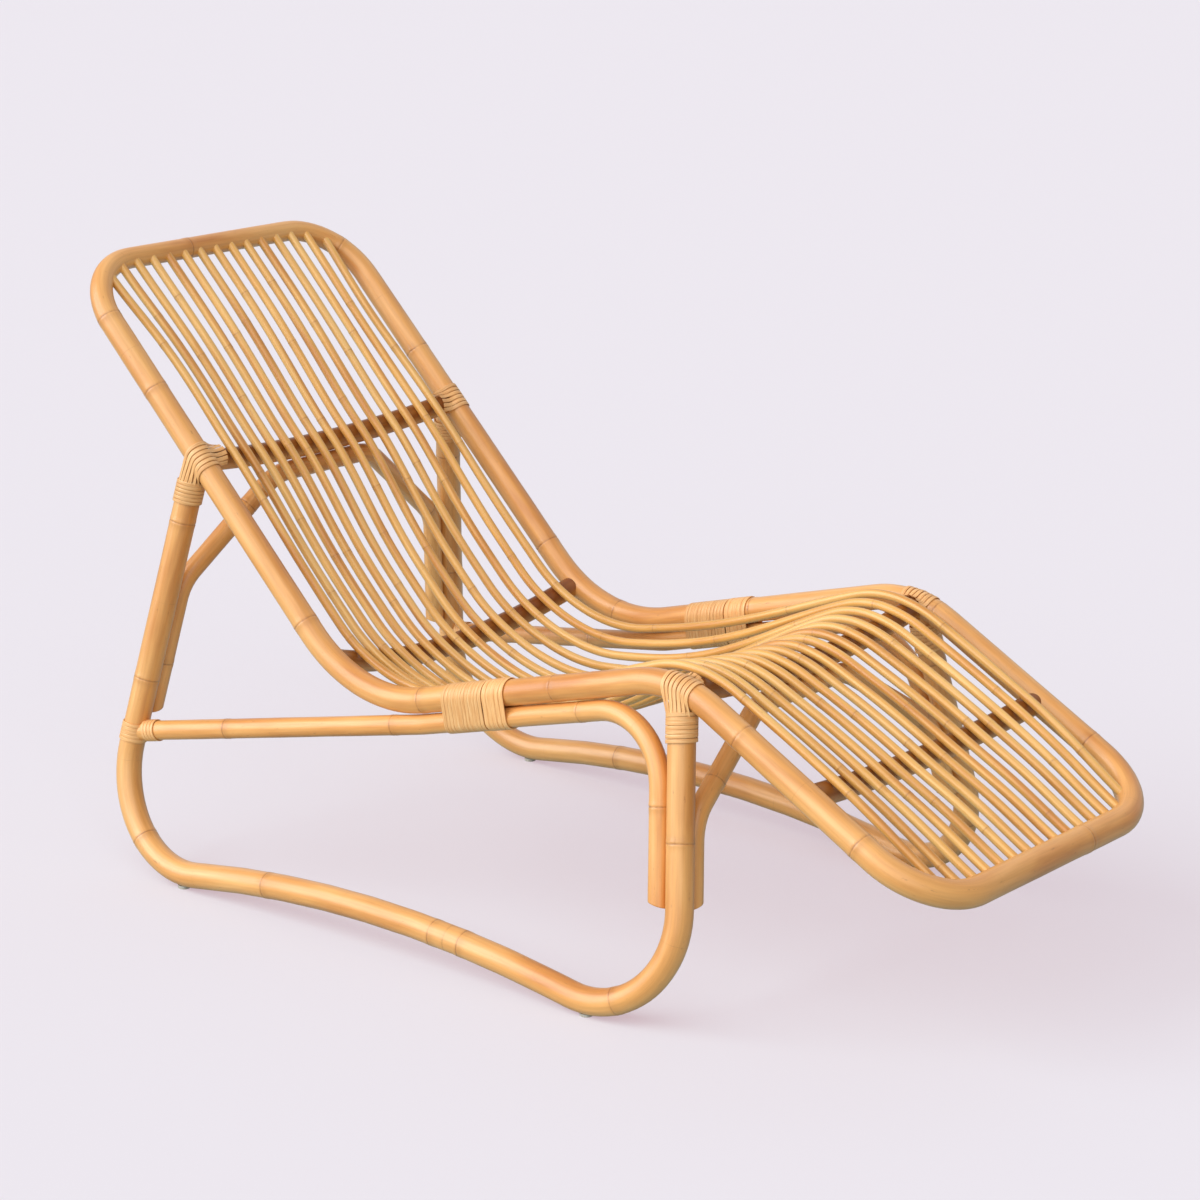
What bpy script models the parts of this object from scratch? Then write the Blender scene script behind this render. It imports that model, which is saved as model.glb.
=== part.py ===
"""Rattan chaise longue, modelled for Blender 4.5 in metres with +Z up.

A closed loop of bent pole carries a deck of thin canes on four bowed cross rails. Two bent side
frames, two side braces and two arches hold the loop up, and strips of cane peel bind the joints.
The sitter looks along +X, so +Y is the left side. The origin is under the middle of the chair's
bounding box, at floor height. Nothing on the chair moves.
"""

import math

import bmesh
import bpy
import numpy as np
from mathutils import Vector

# Clearances
GAP = 0.0003
STRIP_GAP = 0.0003
BEND_SPARE = 0.0006

# Seat loop, side view: three straight runs and two bends, measured along the pole's centre line
SEAT_HALF_WIDTH = 0.270
BACK_LENGTH = 0.8055
BACK_ANGLE = math.radians(45.0)
SEAT_LENGTH = 0.6024
SEAT_RISE = math.radians(15.1)
FOOT_LENGTH = 0.467
FOOT_DROP = math.radians(28.9)
HIP_HEIGHT = 0.304
HIP_RADIUS = 0.225
KNEE_RADIUS = 0.172
HEAD_CORNER_RADIUS = 0.105
FOOT_CORNER_RADIUS = 0.105
POLE_D = 0.038
HEAD_POLE_D = 0.033
FOOT_POLE_D = 0.040
HEAD_TAPER_LENGTH = 0.12

# Side frames: rear leg, arched floor runner and front leg in one bent pole
LEG_D = 0.039
REAR_LEG_LEAN = 0.168
FRONT_LEG_LEAN = 0.165
RUNNER_HALF_REAR = 0.391
RUNNER_HALF_FRONT = 0.368
RUNNER_TILT = math.radians(9.5)
REAR_FOOT_RADIUS = 0.145
FRONT_FOOT_RADIUS = 0.132
LEG_TOP_BELOW_POLE = 0.009
REAR_LEG_BEHIND_POLE = 0.010
RUNNER_ARCH_SHARE = 0.97

# Braces and arches
BRACE_D = 0.030
BRACE_REAR_HEIGHT = 0.205
BRACE_MEETS_BEFORE_SEAT = 0.012
BRACE_MEETS_RADIUS = 0.12
BRACE_FRONT_RADIUS = 0.100
BRACE_END_HEIGHT = 0.172
ARCH_D = 0.030
ARCH_TOP_HALF = 0.100
ARCH_CORNER_RADIUS = 0.070
ARCH_LEG_TURN = math.radians(10.0)
REAR_ARCH_SHOULDER = 0.430
REAR_ARCH_FOOT = 0.236
FRONT_ARCH_SHOULDER = 0.281
FRONT_ARCH_FOOT = 0.170

# Cross rails: where each one meets the side poles, along the pole from the head rail, and its bow
RAIL_D = 0.033
RAILS = {
    "cross_rail_upper_back": (0.364, 0.030),
    "cross_rail_lower_back": (0.728, 0.055),
    "cross_rail_knee": (1.390, 0.030),
    "cross_rail_foot": (1.621, 0.019),
}
RAIL_POINTS = 11

# Deck canes
SLAT_COUNT = 15
SLAT_EDGE_GAP = 0.0425
SLAT_PITCH = 2 * (SEAT_HALF_WIDTH - SLAT_EDGE_GAP) / (SLAT_COUNT - 1)
SLAT_D = 0.013
SLAT_HEAD_RISE = 0.006
SLAT_FOOT_RISE = 0.003
# Spacing of the canes at the head rail, the four cross rails and the foot rail, as shares of the pitch
SLAT_GATHER = (1.0, 0.980, 0.963, 1.0, 0.997, 0.980)
# How far the outermost canes are drawn in there, and half way along each span between them
SLAT_EDGE_DRAW = (0.0, 0.006, 0.0, 0.0, 0.0, 0.0)
SLAT_SPAN_DRAW = (0.009, 0.0, 0.0, 0.0, 0.0)
# How far the middle canes rise half way along each span
SLAT_SPAN_RISE = (0.004, -0.0085, -0.060, 0.0015, 0.003)
SOCKET_DEPTH = 0.008
SOCKET_CUT_REACH = 0.06
SEAT_SEARCH_STEP = 0.0005

# Bindings of flat peel
STRIP_WIDTH = 0.0050
STRIP_PITCH = 0.0066
WIDE_STRIP_WIDTH = 0.0068
WIDE_STRIP_PITCH = 0.0081
STRIP_THICKNESS = 0.0013
LOOP_POINTS = 10
UPPER_BACK_LOOPS = 5
KNEE_LOOPS = 4
REAR_COLLAR_LOOPS = 5
REAR_COLLAR_DROP = 0.040
FRONT_COLLAR_LOOPS = 5
FRONT_COLLAR_DROP = 0.042
LEG_WRAP_LOOPS = 4
BRACE_END_LOOPS = 2
BRACE_END_REACH = 0.036
SEAT_BRACE_LOOPS = 14
SEAT_BRACE_START = 0.054

# Glides
GLIDE_D = 0.018
GLIDE_THICKNESS = 0.003
GLIDE_SEAT = 0.002
GLIDE_SIDES = 16

# Mesh steps
POLE_SIDES = 14
LEG_SIDES = 12
BRACE_SIDES = 12
SLAT_SIDES = 6
BEND_STEP = math.radians(12.0)
BEND_LEAST_STEPS = 4
STRAIGHT_STEP = 0.14
PROFILE_STEP = 0.03
SLAT_STEP = 0.13
FRAME_REACH = 0.004
SHARP_ANGLE = math.radians(50.0)
TINY = 1e-6


def clear_scene():
    for item in list(bpy.data.objects):
        bpy.data.objects.remove(item, do_unlink=True)


def make_material(name, colour, roughness):
    material = bpy.data.materials.new(name)
    material.use_nodes = True
    shader = material.node_tree.nodes["Principled BSDF"]
    shader.inputs["Base Color"].default_value = (*colour, 1.0)
    shader.inputs["Roughness"].default_value = roughness
    return material


def unit(vector):
    vector = np.asarray(vector, float)
    return vector / np.linalg.norm(vector)


# Paths


def round_corner(before, corner, after, radius):
    """Points of the arc that rounds one corner of a path."""
    into = unit(corner - before)
    out = unit(after - corner)
    turn = math.acos(np.clip(into @ out, -1.0, 1.0))
    if radius == 0 or turn < TINY:
        return [corner]
    reach = radius * math.tan(turn / 2)
    start = corner - into * reach
    inward = unit(out - into * (into @ out))
    centre = start + inward * radius
    count = max(BEND_LEAST_STEPS, math.ceil(turn / BEND_STEP))
    points = []
    for index in range(count + 1):
        angle = turn * index / count
        points.append(centre + radius * (into * math.sin(angle) - inward * math.cos(angle)))
    return points


def rounded_path(corners, radii, closed=False, spacing=STRAIGHT_STEP):
    """A path through the corners with rounded bends and extra points on long straight runs."""
    corners = [np.asarray(corner, float) for corner in corners]
    count = len(corners)
    points = []
    for index, corner in enumerate(corners):
        if not closed and index in (0, count - 1):
            points.append(corner)
            continue
        before = corners[index - 1]
        after = corners[(index + 1) % count]
        points.extend(round_corner(before, corner, after, radii[index]))
    filled = []
    for index, point in enumerate(points):
        if index == len(points) - 1 and not closed:
            filled.append(point)
            break
        following = points[(index + 1) % len(points)]
        pieces = max(1, math.ceil(np.linalg.norm(following - point) / spacing))
        filled.extend(point + (following - point) * piece / pieces for piece in range(pieces))
    return np.array(filled)


def path_lengths(points):
    steps = np.linalg.norm(np.diff(points, axis=0), axis=1)
    return np.concatenate([[0.0], np.cumsum(steps)])


def path_at(points, distance):
    """Point of the path at this distance along it."""
    lengths = path_lengths(points)
    return np.array([np.interp(distance, lengths, points[:, axis]) for axis in range(3)])


def path_frame(points, distance):
    """Centre, direction, side vector and upward normal of the path at this distance."""
    centre = path_at(points, distance)
    ahead = path_at(points, distance + FRAME_REACH)
    along = unit(ahead - path_at(points, distance - FRAME_REACH))
    side = np.array([0.0, 1.0, 0.0])
    across = unit(side - along * (along @ side))
    return centre, along, across, np.cross(along, across)


def distance_to_path(point, points):
    """Least distance from a point to a closed path."""
    starts = points
    ends = np.roll(points, -1, axis=0)
    runs = ends - starts
    share = np.clip(((point - starts) * runs).sum(1) / (runs * runs).sum(1), 0, 1)
    return np.linalg.norm(point - starts - share[:, None] * runs, axis=1).min()


# Solids


def ring_frames(points, closed):
    """Two section axes at each point, carried along the path without twist."""
    if closed:
        directions = np.roll(points, -1, axis=0) - np.roll(points, 1, axis=0)
    else:
        directions = np.gradient(points, axis=0)
    directions /= np.linalg.norm(directions, axis=1)[:, None]
    start = np.array([0.0, 1.0, 0.0]) if abs(directions[0][1]) < 0.9 else np.array([1.0, 0.0, 0.0])
    first = unit(start - directions[0] * (directions[0] @ start))
    axes = []
    for direction in directions:
        first = unit(first - direction * (direction @ first))
        axes.append((first, np.cross(direction, first)))
    return axes


def bridge(mesh, rings, closed):
    count = len(rings)
    for index in range(count if closed else count - 1):
        near = rings[index]
        far = rings[(index + 1) % count]
        for corner in range(len(near)):
            other = (corner + 1) % len(near)
            mesh.faces.new((near[corner], near[other], far[other], far[corner]))
    if not closed:
        mesh.faces.new(reversed(rings[0]))
        mesh.faces.new(rings[-1])


def add_object(name, mesh, material, smooth=True):
    bmesh.ops.recalc_face_normals(mesh, faces=mesh.faces[:])
    data = bpy.data.meshes.new(name)
    mesh.to_mesh(data)
    mesh.free()
    if material:
        data.materials.append(material)
    if smooth:
        data.shade_smooth()
        data.set_sharp_from_angle(angle=SHARP_ANGLE)
    item = bpy.data.objects.new(name, data)
    bpy.context.collection.objects.link(item)
    return item


def add_tube_rings(mesh, points, radii, sides, closed=False):
    rings = []
    for point, radius, (first, second) in zip(points, radii, ring_frames(points, closed)):
        ring = []
        for corner in range(sides):
            angle = 2 * math.pi * (corner + 0.5) / sides
            ring.append(
                mesh.verts.new(point + radius * (first * math.cos(angle) + second * math.sin(angle)))
            )
        rings.append(ring)
    bridge(mesh, rings, closed)


def tube(name, points, radii, sides, material, closed=False):
    """A bent pole: one ring of corners at each point of its centre line."""
    points = np.asarray(points, float)
    radii = np.broadcast_to(radii, len(points))
    mesh = bmesh.new()
    add_tube_rings(mesh, points, radii, sides, closed)
    return add_object(name, mesh, material)


def make_cutter(item):
    item.hide_render = True
    item.display_type = "WIRE"
    return item


def cut(item, cutter):
    modifier = item.modifiers.new("cope", "BOOLEAN")
    modifier.operation = "DIFFERENCE"
    modifier.solver = "EXACT"
    modifier.object = cutter


# Seat loop

HIP_REACH = HIP_RADIUS * math.tan((BACK_ANGLE + SEAT_RISE) / 2)
BACK_RUN = BACK_LENGTH * math.cos(BACK_ANGLE)
SEAT_RUN = SEAT_LENGTH * math.cos(SEAT_RISE)
FOOT_RUN = FOOT_LENGTH * math.cos(FOOT_DROP)
OVERALL_LENGTH = HEAD_POLE_D / 2 + BACK_RUN + SEAT_RUN + FOOT_RUN + FOOT_POLE_D / 2
HEAD_X = HEAD_POLE_D / 2 - OVERALL_LENGTH / 2
HIP_X = HEAD_X + BACK_RUN
KNEE_X = HIP_X + SEAT_RUN
FOOT_X = KNEE_X + FOOT_RUN
HEAD_Z = HIP_HEIGHT + BACK_LENGTH * math.sin(BACK_ANGLE)
KNEE_Z = HIP_HEIGHT + SEAT_LENGTH * math.sin(SEAT_RISE)
FOOT_Z = KNEE_Z - FOOT_LENGTH * math.sin(FOOT_DROP)

# Where the two bends start, along the pole from the head rail, and how long they are
HIP_STATION = BACK_LENGTH - HIP_REACH
HIP_BEND_LENGTH = HIP_RADIUS * (BACK_ANGLE + SEAT_RISE)
KNEE_REACH = KNEE_RADIUS * math.tan((SEAT_RISE + FOOT_DROP) / 2)
KNEE_STATION = HIP_STATION + HIP_BEND_LENGTH + SEAT_LENGTH - HIP_REACH - KNEE_REACH
KNEE_BEND_LENGTH = KNEE_RADIUS * (SEAT_RISE + FOOT_DROP)


def side_profile(y):
    """Centre line of one side of the loop, from head rail to foot rail, at this distance across."""
    corners = [(HEAD_X, y, HEAD_Z), (HIP_X, y, HIP_HEIGHT), (KNEE_X, y, KNEE_Z), (FOOT_X, y, FOOT_Z)]
    return rounded_path(corners, [0, HIP_RADIUS, KNEE_RADIUS, 0], spacing=PROFILE_STEP)


def seat_loop():
    half = SEAT_HALF_WIDTH
    corners = []
    radii = [HEAD_CORNER_RADIUS, HIP_RADIUS, KNEE_RADIUS, FOOT_CORNER_RADIUS]
    profile = [(HEAD_X, HEAD_Z), (HIP_X, HIP_HEIGHT), (KNEE_X, KNEE_Z), (FOOT_X, FOOT_Z)]
    for x, z in profile:
        corners.append((x, -half, z))
    for x, z in reversed(profile):
        corners.append((x, half, z))
    return rounded_path(corners, radii + radii[::-1], closed=True)


def pole_radius(x):
    """The pole is thinnest at the head rail and thickest at the foot."""
    taper = HEAD_TAPER_LENGTH * math.cos(BACK_ANGLE)
    places = [HEAD_X, HEAD_X + taper, KNEE_X, FOOT_X]
    radii = [HEAD_POLE_D / 2, POLE_D / 2, POLE_D / 2, FOOT_POLE_D / 2]
    return np.interp(x, places, radii)


def build_seat_frame(material):
    points = seat_loop()
    return tube("seat_frame", points, pole_radius(points[:, 0]), POLE_SIDES, material, closed=True)


def pole_cutter(name, sign, spare):
    """One side of the loop, fatter by the clearance, to cope what butts against it."""
    points = seat_loop()
    points = np.array([point for point in points if point[1] * sign > SEAT_HALF_WIDTH - TINY])
    points = points[np.argsort(points[:, 0])]
    return make_cutter(tube(name, points, pole_radius(points[:, 0]) + spare, 2 * POLE_SIDES, None))


# Bindings

BOUND_SPARE = STRIP_GAP + STRIP_THICKNESS + GAP


def chord_sag(radius):
    return radius * (1 / math.cos(math.pi / LOOP_POINTS) - 1)


def round_outline(radius):
    """Offsets and normals of one loop round a pole."""
    inner = (radius + STRIP_GAP) / math.cos(math.pi / LOOP_POINTS)
    middle = inner + STRIP_THICKNESS / 2
    outline = []
    for index in range(LOOP_POINTS):
        angle = 2 * math.pi * index / LOOP_POINTS
        normal = np.array([math.cos(angle), math.sin(angle)])
        outline.append((normal * middle, normal))
    return outline


def twin_outline(upper, lower, apart):
    """One loop round two poles that touch: the second lies `apart` below the first."""
    lean = math.asin((upper - lower) / apart)
    half = LOOP_POINTS // 2
    outline = []
    for index in range(half):
        angle = -lean + (math.pi + 2 * lean) * index / (half - 1)
        step = (math.pi + 2 * lean) / (half - 1)
        reach = (upper + STRIP_GAP) / math.cos(step / 2) + STRIP_THICKNESS / 2
        normal = np.array([math.cos(angle), math.sin(angle)])
        outline.append((normal * reach, normal))
    for index in range(half):
        angle = math.pi + lean + (math.pi - 2 * lean) * index / (half - 1)
        step = (math.pi - 2 * lean) / (half - 1)
        reach = (lower + STRIP_GAP) / math.cos(step / 2) + STRIP_THICKNESS / 2
        normal = np.array([math.cos(angle), math.sin(angle)])
        outline.append((normal * reach + np.array([0.0, -apart]), normal))
    return outline


def binding(name, path, middle, loops, outline, material, width=STRIP_WIDTH, pitch=STRIP_PITCH):
    """One unbroken flat strip, wound round the path in `loops` turns about its middle."""
    per_loop = len(outline)
    total = loops * per_loop
    start = middle - loops * pitch / 2
    rings = []
    for index in range(total + 1):
        centre, along, across, up = path_frame(path, start + pitch * index / per_loop)
        offset, normal = outline[index % per_loop]
        out = across * normal[0] + up * normal[1]
        point = centre + across * offset[0] + up * offset[1]
        rings.append((point, along, out))
    first, second = rings[0], rings[1]
    last, previous = rings[-1], rings[-2]
    lead = unit(first[0] - second[0]) * STRIP_THICKNESS
    tail = unit(last[0] - previous[0]) * STRIP_THICKNESS
    rings.insert(0, (first[0] + lead, first[1], first[2]))
    rings.append((last[0] + tail, last[1], last[2]))
    mesh = bmesh.new()
    solid = []
    corners = []
    for point, along, out in rings:
        wide = along * width / 2
        thick = out * STRIP_THICKNESS / 2
        section = [point - wide - thick, point + wide - thick, point + wide + thick, point - wide + thick]
        corners.append(section)
        solid.append([mesh.verts.new(corner) for corner in section])
    bridge(mesh, solid, closed=False)
    print(f"{name}: least gap to itself {1000 * least_own_gap(np.array(corners), per_loop):.2f} mm")
    return add_object(name, mesh, material)


def least_own_gap(corners, per_loop):
    """Least distance between the strip's corners and those of a turn further on."""
    least = math.inf
    for index in range(len(corners)):
        others = corners[index + per_loop // 2 + 1 :]
        if len(others):
            apart = corners[index][:, None, :] - others.reshape(1, -1, 3)
            least = min(least, np.linalg.norm(apart, axis=2).min())
    return least


# Side frames

SIDES = {"left": 1, "right": -1}
FLOOR_POLE = GLIDE_THICKNESS + LEG_D / 2


def foot_reach(radius, leg_lean):
    """Length of leg and runner that the rounded bend at the floor takes up."""
    turn = math.pi / 2 + math.atan(leg_lean) + RUNNER_TILT
    return radius * math.tan(turn / 2)


def foot_corner_drop(radius, leg_lean):
    """How far the unrounded corner lies below the lowest point of the bend."""
    reach = foot_reach(radius, leg_lean)
    return reach * math.sin(RUNNER_TILT) - radius * (1 - math.cos(RUNNER_TILT))


def side_frame_corners(sign):
    """Rear leg top, rear bend, middle of the arched runner, front bend and front leg top."""
    profile = side_profile(sign * SEAT_HALF_WIDTH)
    rear_top = path_at(profile, RAILS["cross_rail_upper_back"][0])
    rear_top[0] -= REAR_LEG_BEHIND_POLE
    front_top = path_at(profile, RAILS["cross_rail_knee"][0])
    rear_drop = foot_corner_drop(REAR_FOOT_RADIUS, REAR_LEG_LEAN)
    front_drop = foot_corner_drop(FRONT_FOOT_RADIUS, FRONT_LEG_LEAN)
    rear_z = FLOOR_POLE - rear_drop
    front_z = FLOOR_POLE - front_drop
    rear_x = rear_top[0] - REAR_LEG_LEAN * (rear_top[2] - rear_z)
    front_x = front_top[0] + FRONT_LEG_LEAN * (front_top[2] - front_z)
    rear = np.array([rear_x, sign * RUNNER_HALF_REAR, rear_z])
    front = np.array([front_x, sign * RUNNER_HALF_FRONT, front_z])
    middle = (rear + front) / 2
    middle[2] += math.tan(RUNNER_TILT) * (front_x - rear_x) / 2
    return rear_top, rear, middle, front, front_top


def side_frame_path(sign):
    corners = side_frame_corners(sign)
    half_run = np.linalg.norm(corners[2] - corners[1])
    rear_reach = foot_reach(REAR_FOOT_RADIUS, REAR_LEG_LEAN)
    front_reach = foot_reach(FRONT_FOOT_RADIUS, FRONT_LEG_LEAN)
    straight = half_run - max(rear_reach, front_reach)
    arch_radius = RUNNER_ARCH_SHARE * straight / math.tan(RUNNER_TILT)
    return rounded_path(corners, [0, REAR_FOOT_RADIUS, arch_radius, FRONT_FOOT_RADIUS, 0])


def trimmed(path, start, end):
    """The path without its first `start` and last `end` metres."""
    lengths = path_lengths(path)
    inside = (lengths > start) & (lengths < lengths[-1] - end)
    return np.vstack([[path_at(path, start)], path[inside], [path_at(path, lengths[-1] - end)]])


def build_side_frame(side, cutter, material):
    path = trimmed(side_frame_path(SIDES[side]), LEG_TOP_BELOW_POLE, LEG_TOP_BELOW_POLE)
    item = tube(f"leg_frame_{side}", path, LEG_D / 2, LEG_SIDES, material)
    cut(item, cutter)
    return item


def leg_cutter(name, sign, spare):
    """One side frame, fatter by the clearance, to cope what meets it."""
    path = side_frame_path(sign)
    return make_cutter(tube(name, path, LEG_D / 2 + spare, 2 * LEG_SIDES, None))


def leg_at(sign, height, front):
    """Centre of the rear or front leg at this height, and the leg's upward direction."""
    corners = side_frame_corners(sign)
    top, foot = (corners[4], corners[3]) if front else (corners[0], corners[1])
    share = (height - foot[2]) / (top[2] - foot[2])
    return foot + (top - foot) * share, unit(top - foot)


# Side braces


def brace_path(sign):
    """From the rear leg, along under the seat pole, and down the back of the front leg."""
    below = POLE_D / 2 + BRACE_D / 2 + GAP
    along = np.array([math.cos(SEAT_RISE), 0.0, math.sin(SEAT_RISE)])
    down = np.array([math.sin(SEAT_RISE), 0.0, -math.cos(SEAT_RISE)])
    hip_end = np.array([HIP_X, sign * SEAT_HALF_WIDTH, HIP_HEIGHT]) + along * HIP_REACH
    meets = hip_end + down * below - along * BRACE_MEETS_BEFORE_SEAT
    rear, _ = leg_at(sign, BRACE_REAR_HEIGHT, front=False)
    leg_low, up = leg_at(sign, BRACE_END_HEIGHT, front=True)
    behind = unit(np.array([-1.0, 0.0, 0.0]) - up * (-up[0]))
    beside = behind * (LEG_D / 2 + BRACE_D / 2 + GAP)
    low = leg_low + beside
    lift = brace_corner_lift(meets, along, low, up)
    corner = low + up * lift
    leaves = meets + along * (SEAT_BRACE_LOOPS * WIDE_STRIP_PITCH + 2 * SEAT_BRACE_START)
    corners = [rear, meets, leaves, corner, low]
    return rounded_path(corners, [0, BRACE_MEETS_RADIUS, BRACE_MEETS_RADIUS, BRACE_FRONT_RADIUS, 0])


def brace_corner_lift(meets, along, low, up):
    """How far up the front leg the brace's line under the seat pole would meet it, in side view."""
    matrix = np.array([[up[0], -along[0]], [up[2], -along[2]]])
    gap = np.array([meets[0] - low[0], meets[2] - low[2]])
    return float(np.linalg.solve(matrix, gap)[0])


def build_side_brace(side, cutter, material):
    item = tube(f"side_brace_{side}", brace_path(SIDES[side]), BRACE_D / 2, BRACE_SIDES, material)
    cut(item, cutter)
    return item


# Cross rails and deck


def rail_offset(bow, y):
    """How far the rail sags from the line between the side poles."""
    return -bow * (1 - (y / SEAT_HALF_WIDTH) ** 2)


def rail_path(name):
    """Bowed centre line of a rail; its middle point is the lowest."""
    distance, bow = RAILS[name]
    centre, _, _, up = path_frame(side_profile(0.0), distance)
    points = []
    for y in np.linspace(-SEAT_HALF_WIDTH, SEAT_HALF_WIDTH, RAIL_POINTS):
        points.append(centre + np.array([0.0, y, 0.0]) + up * rail_offset(bow, y))
    return np.array(points)


def build_rail(name, cutters, material):
    item = tube(name, rail_path(name), RAIL_D / 2, BRACE_SIDES, material)
    for cutter in cutters:
        cut(item, cutter)
    return item


def edge_share(y):
    """1 at the outermost canes, falling fast to nothing towards the middle."""
    return (y / slat_y(0)) ** 4


def slat_stations(y):
    """Distances along the deck, and there the cane's height over the poles and its place across."""
    draw = math.copysign(edge_share(y), y)
    places = [y * share - draw * edge for share, edge in zip(SLAT_GATHER, SLAT_EDGE_DRAW)]
    stations = [(0.0, SLAT_HEAD_RISE, places[0])]
    for (distance, bow), place in zip(RAILS.values(), places[1:]):
        slope = 2 * bow * place / SEAT_HALF_WIDTH**2
        lift = (RAIL_D / 2 + SLAT_D / 2 + GAP) * math.hypot(1.0, slope)
        stations.append((distance, rail_offset(bow, place) + lift, place))
    length = path_lengths(side_profile(0.0))[-1]
    stations.append((length, SLAT_FOOT_RISE, places[-1]))
    return np.array(stations)


def eased(stations, distance):
    """Height and place across in smooth steps between the stations, level at each of them."""
    index = int(np.clip(np.searchsorted(stations[:, 0], distance) - 1, 0, len(stations) - 2))
    start, end = stations[index], stations[index + 1]
    share = np.clip((distance - start[0]) / (end[0] - start[0]), 0, 1)
    _, height, place = start + (end - start) * share * share * (3 - 2 * share)
    swell = math.sin(math.pi * share) ** 2
    height += SLAT_SPAN_RISE[index] * swell * (1 - (place / SEAT_HALF_WIDTH) ** 2)
    place -= math.copysign(SLAT_SPAN_DRAW[index] * swell * edge_share(place), place)
    return height, place


def slat_y(index):
    return (index - (SLAT_COUNT - 1) / 2) * SLAT_PITCH


def spread(marks, least):
    """Sorted marks without those that crowd a mark named before them."""
    kept = []
    for mark in marks:
        if all(abs(mark - other) > least for other in kept):
            kept.append(mark)
    return sorted(kept)


def filled_in(marks, step):
    """The marks with even steps between them, none longer than `step`."""
    filled = []
    for low, high in zip(marks, marks[1:]):
        pieces = max(1, math.ceil((high - low) / step))
        filled += [low + (high - low) * piece / pieces for piece in range(pieces)]
    return filled + [marks[-1]]


def slat_path(y):
    """Centre line of one cane over all four rails, ended inside the head and foot rails."""
    profile = side_profile(y)
    loop = seat_loop()
    stations = slat_stations(y)
    length = stations[-1][0]

    def point_at(distance):
        centre, _, _, up = path_frame(profile, distance)
        height, place = eased(stations, distance)
        return centre + up * height + np.array([0.0, place - y, 0.0])

    def seated(distance, step):
        point = point_at(distance)
        while distance_to_path(point, loop) > pole_radius(point[0]) - SOCKET_DEPTH:
            distance += step
            point = point_at(distance)
        return distance

    start = seated(HEAD_CORNER_RADIUS, -SEAT_SEARCH_STEP)
    end = seated(length - FOOT_CORNER_RADIUS, SEAT_SEARCH_STEP)
    marks = [start, end] + [distance for distance, _ in RAILS.values()]
    bends = [(HIP_STATION, HIP_BEND_LENGTH), (KNEE_STATION, KNEE_BEND_LENGTH)]
    for bend_start, bend_length in bends:
        marks += [bend_start + bend_length * share for share in (0.0, 0.25, 0.5, 0.75, 1.0)]
    marks = spread(marks, RAIL_D)
    return np.array([point_at(distance) for distance in filled_in(marks, SLAT_STEP)])


def build_slats(material):
    paths = [slat_path(slat_y(index)) for index in range(SLAT_COUNT)]
    for index, path in enumerate(paths):
        tube(f"slat_{index + 1:02d}", path, SLAT_D / 2, SLAT_SIDES, material)
    return paths


def socket_cutter(paths):
    """Every cane end, fatter and longer by the clearance, as one cutter for the seat loop."""
    mesh = bmesh.new()
    radius = SLAT_D / 2 + GAP
    for path in paths:
        for end, towards in ((path[0], path[1]), (path[-1], path[-2])):
            back = unit(towards - end)
            points = np.array([end - back * GAP, end + back * SOCKET_CUT_REACH])
            add_tube_rings(mesh, points, [radius, radius], SLAT_SIDES)
    return make_cutter(add_object("cutter_sockets", mesh, None, smooth=False))


# Arches


def arch_path(front):
    """Foot, shoulder and top of one arch: up the inner side of the legs and under the rail."""
    rail = "cross_rail_knee" if front else "cross_rail_upper_back"
    shoulder = FRONT_ARCH_SHOULDER if front else REAR_ARCH_SHOULDER
    foot = FRONT_ARCH_FOOT if front else REAR_ARCH_FOOT
    rail_middle = rail_path(rail)[RAIL_POINTS // 2]
    top = rail_middle - np.array([0.0, 0.0, RAIL_D / 2 + ARCH_D / 2 + GAP])
    beside = LEG_D / 2 + ARCH_D / 2 + GAP
    towards = np.array([-math.sin(ARCH_LEG_TURN), math.cos(ARCH_LEG_TURN), 0.0])
    corners = []
    for height in (foot, shoulder):
        centre, up = leg_at(-1, height, front)
        inward = unit(towards - up * (up @ towards))
        corners.append(centre + inward * beside)
    corners.append(np.array([top[0], -ARCH_TOP_HALF, top[2]]))
    corners += [corner * np.array([1.0, -1.0, 1.0]) for corner in reversed(corners)]
    radius = ARCH_CORNER_RADIUS
    return rounded_path(corners, [0, radius, radius, radius, radius, 0])


def build_arches(material):
    for name, front in (("rear_arch_brace", False), ("front_arch_brace", True)):
        tube(name, arch_path(front), ARCH_D / 2, BRACE_SIDES, material)


# Glides


def build_glides(cutters, material):
    for side, sign in SIDES.items():
        path = side_frame_path(sign)
        behind = path[:, 0] < side_frame_corners(sign)[2][0]
        for place, chosen in (("rear", path[behind]), ("front", path[~behind])):
            low = chosen[np.argmin(chosen[:, 2])]
            mesh = bmesh.new()
            bmesh.ops.create_cone(
                mesh,
                cap_ends=True,
                segments=GLIDE_SIDES,
                radius1=GLIDE_D / 2,
                radius2=GLIDE_D / 2,
                depth=GLIDE_THICKNESS + GLIDE_SEAT,
            )
            item = add_object(f"glide_{place}_{side}", mesh, material)
            item.location = Vector((low[0], low[1], (GLIDE_THICKNESS + GLIDE_SEAT) / 2))
            cut(item, cutters[side])


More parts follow.
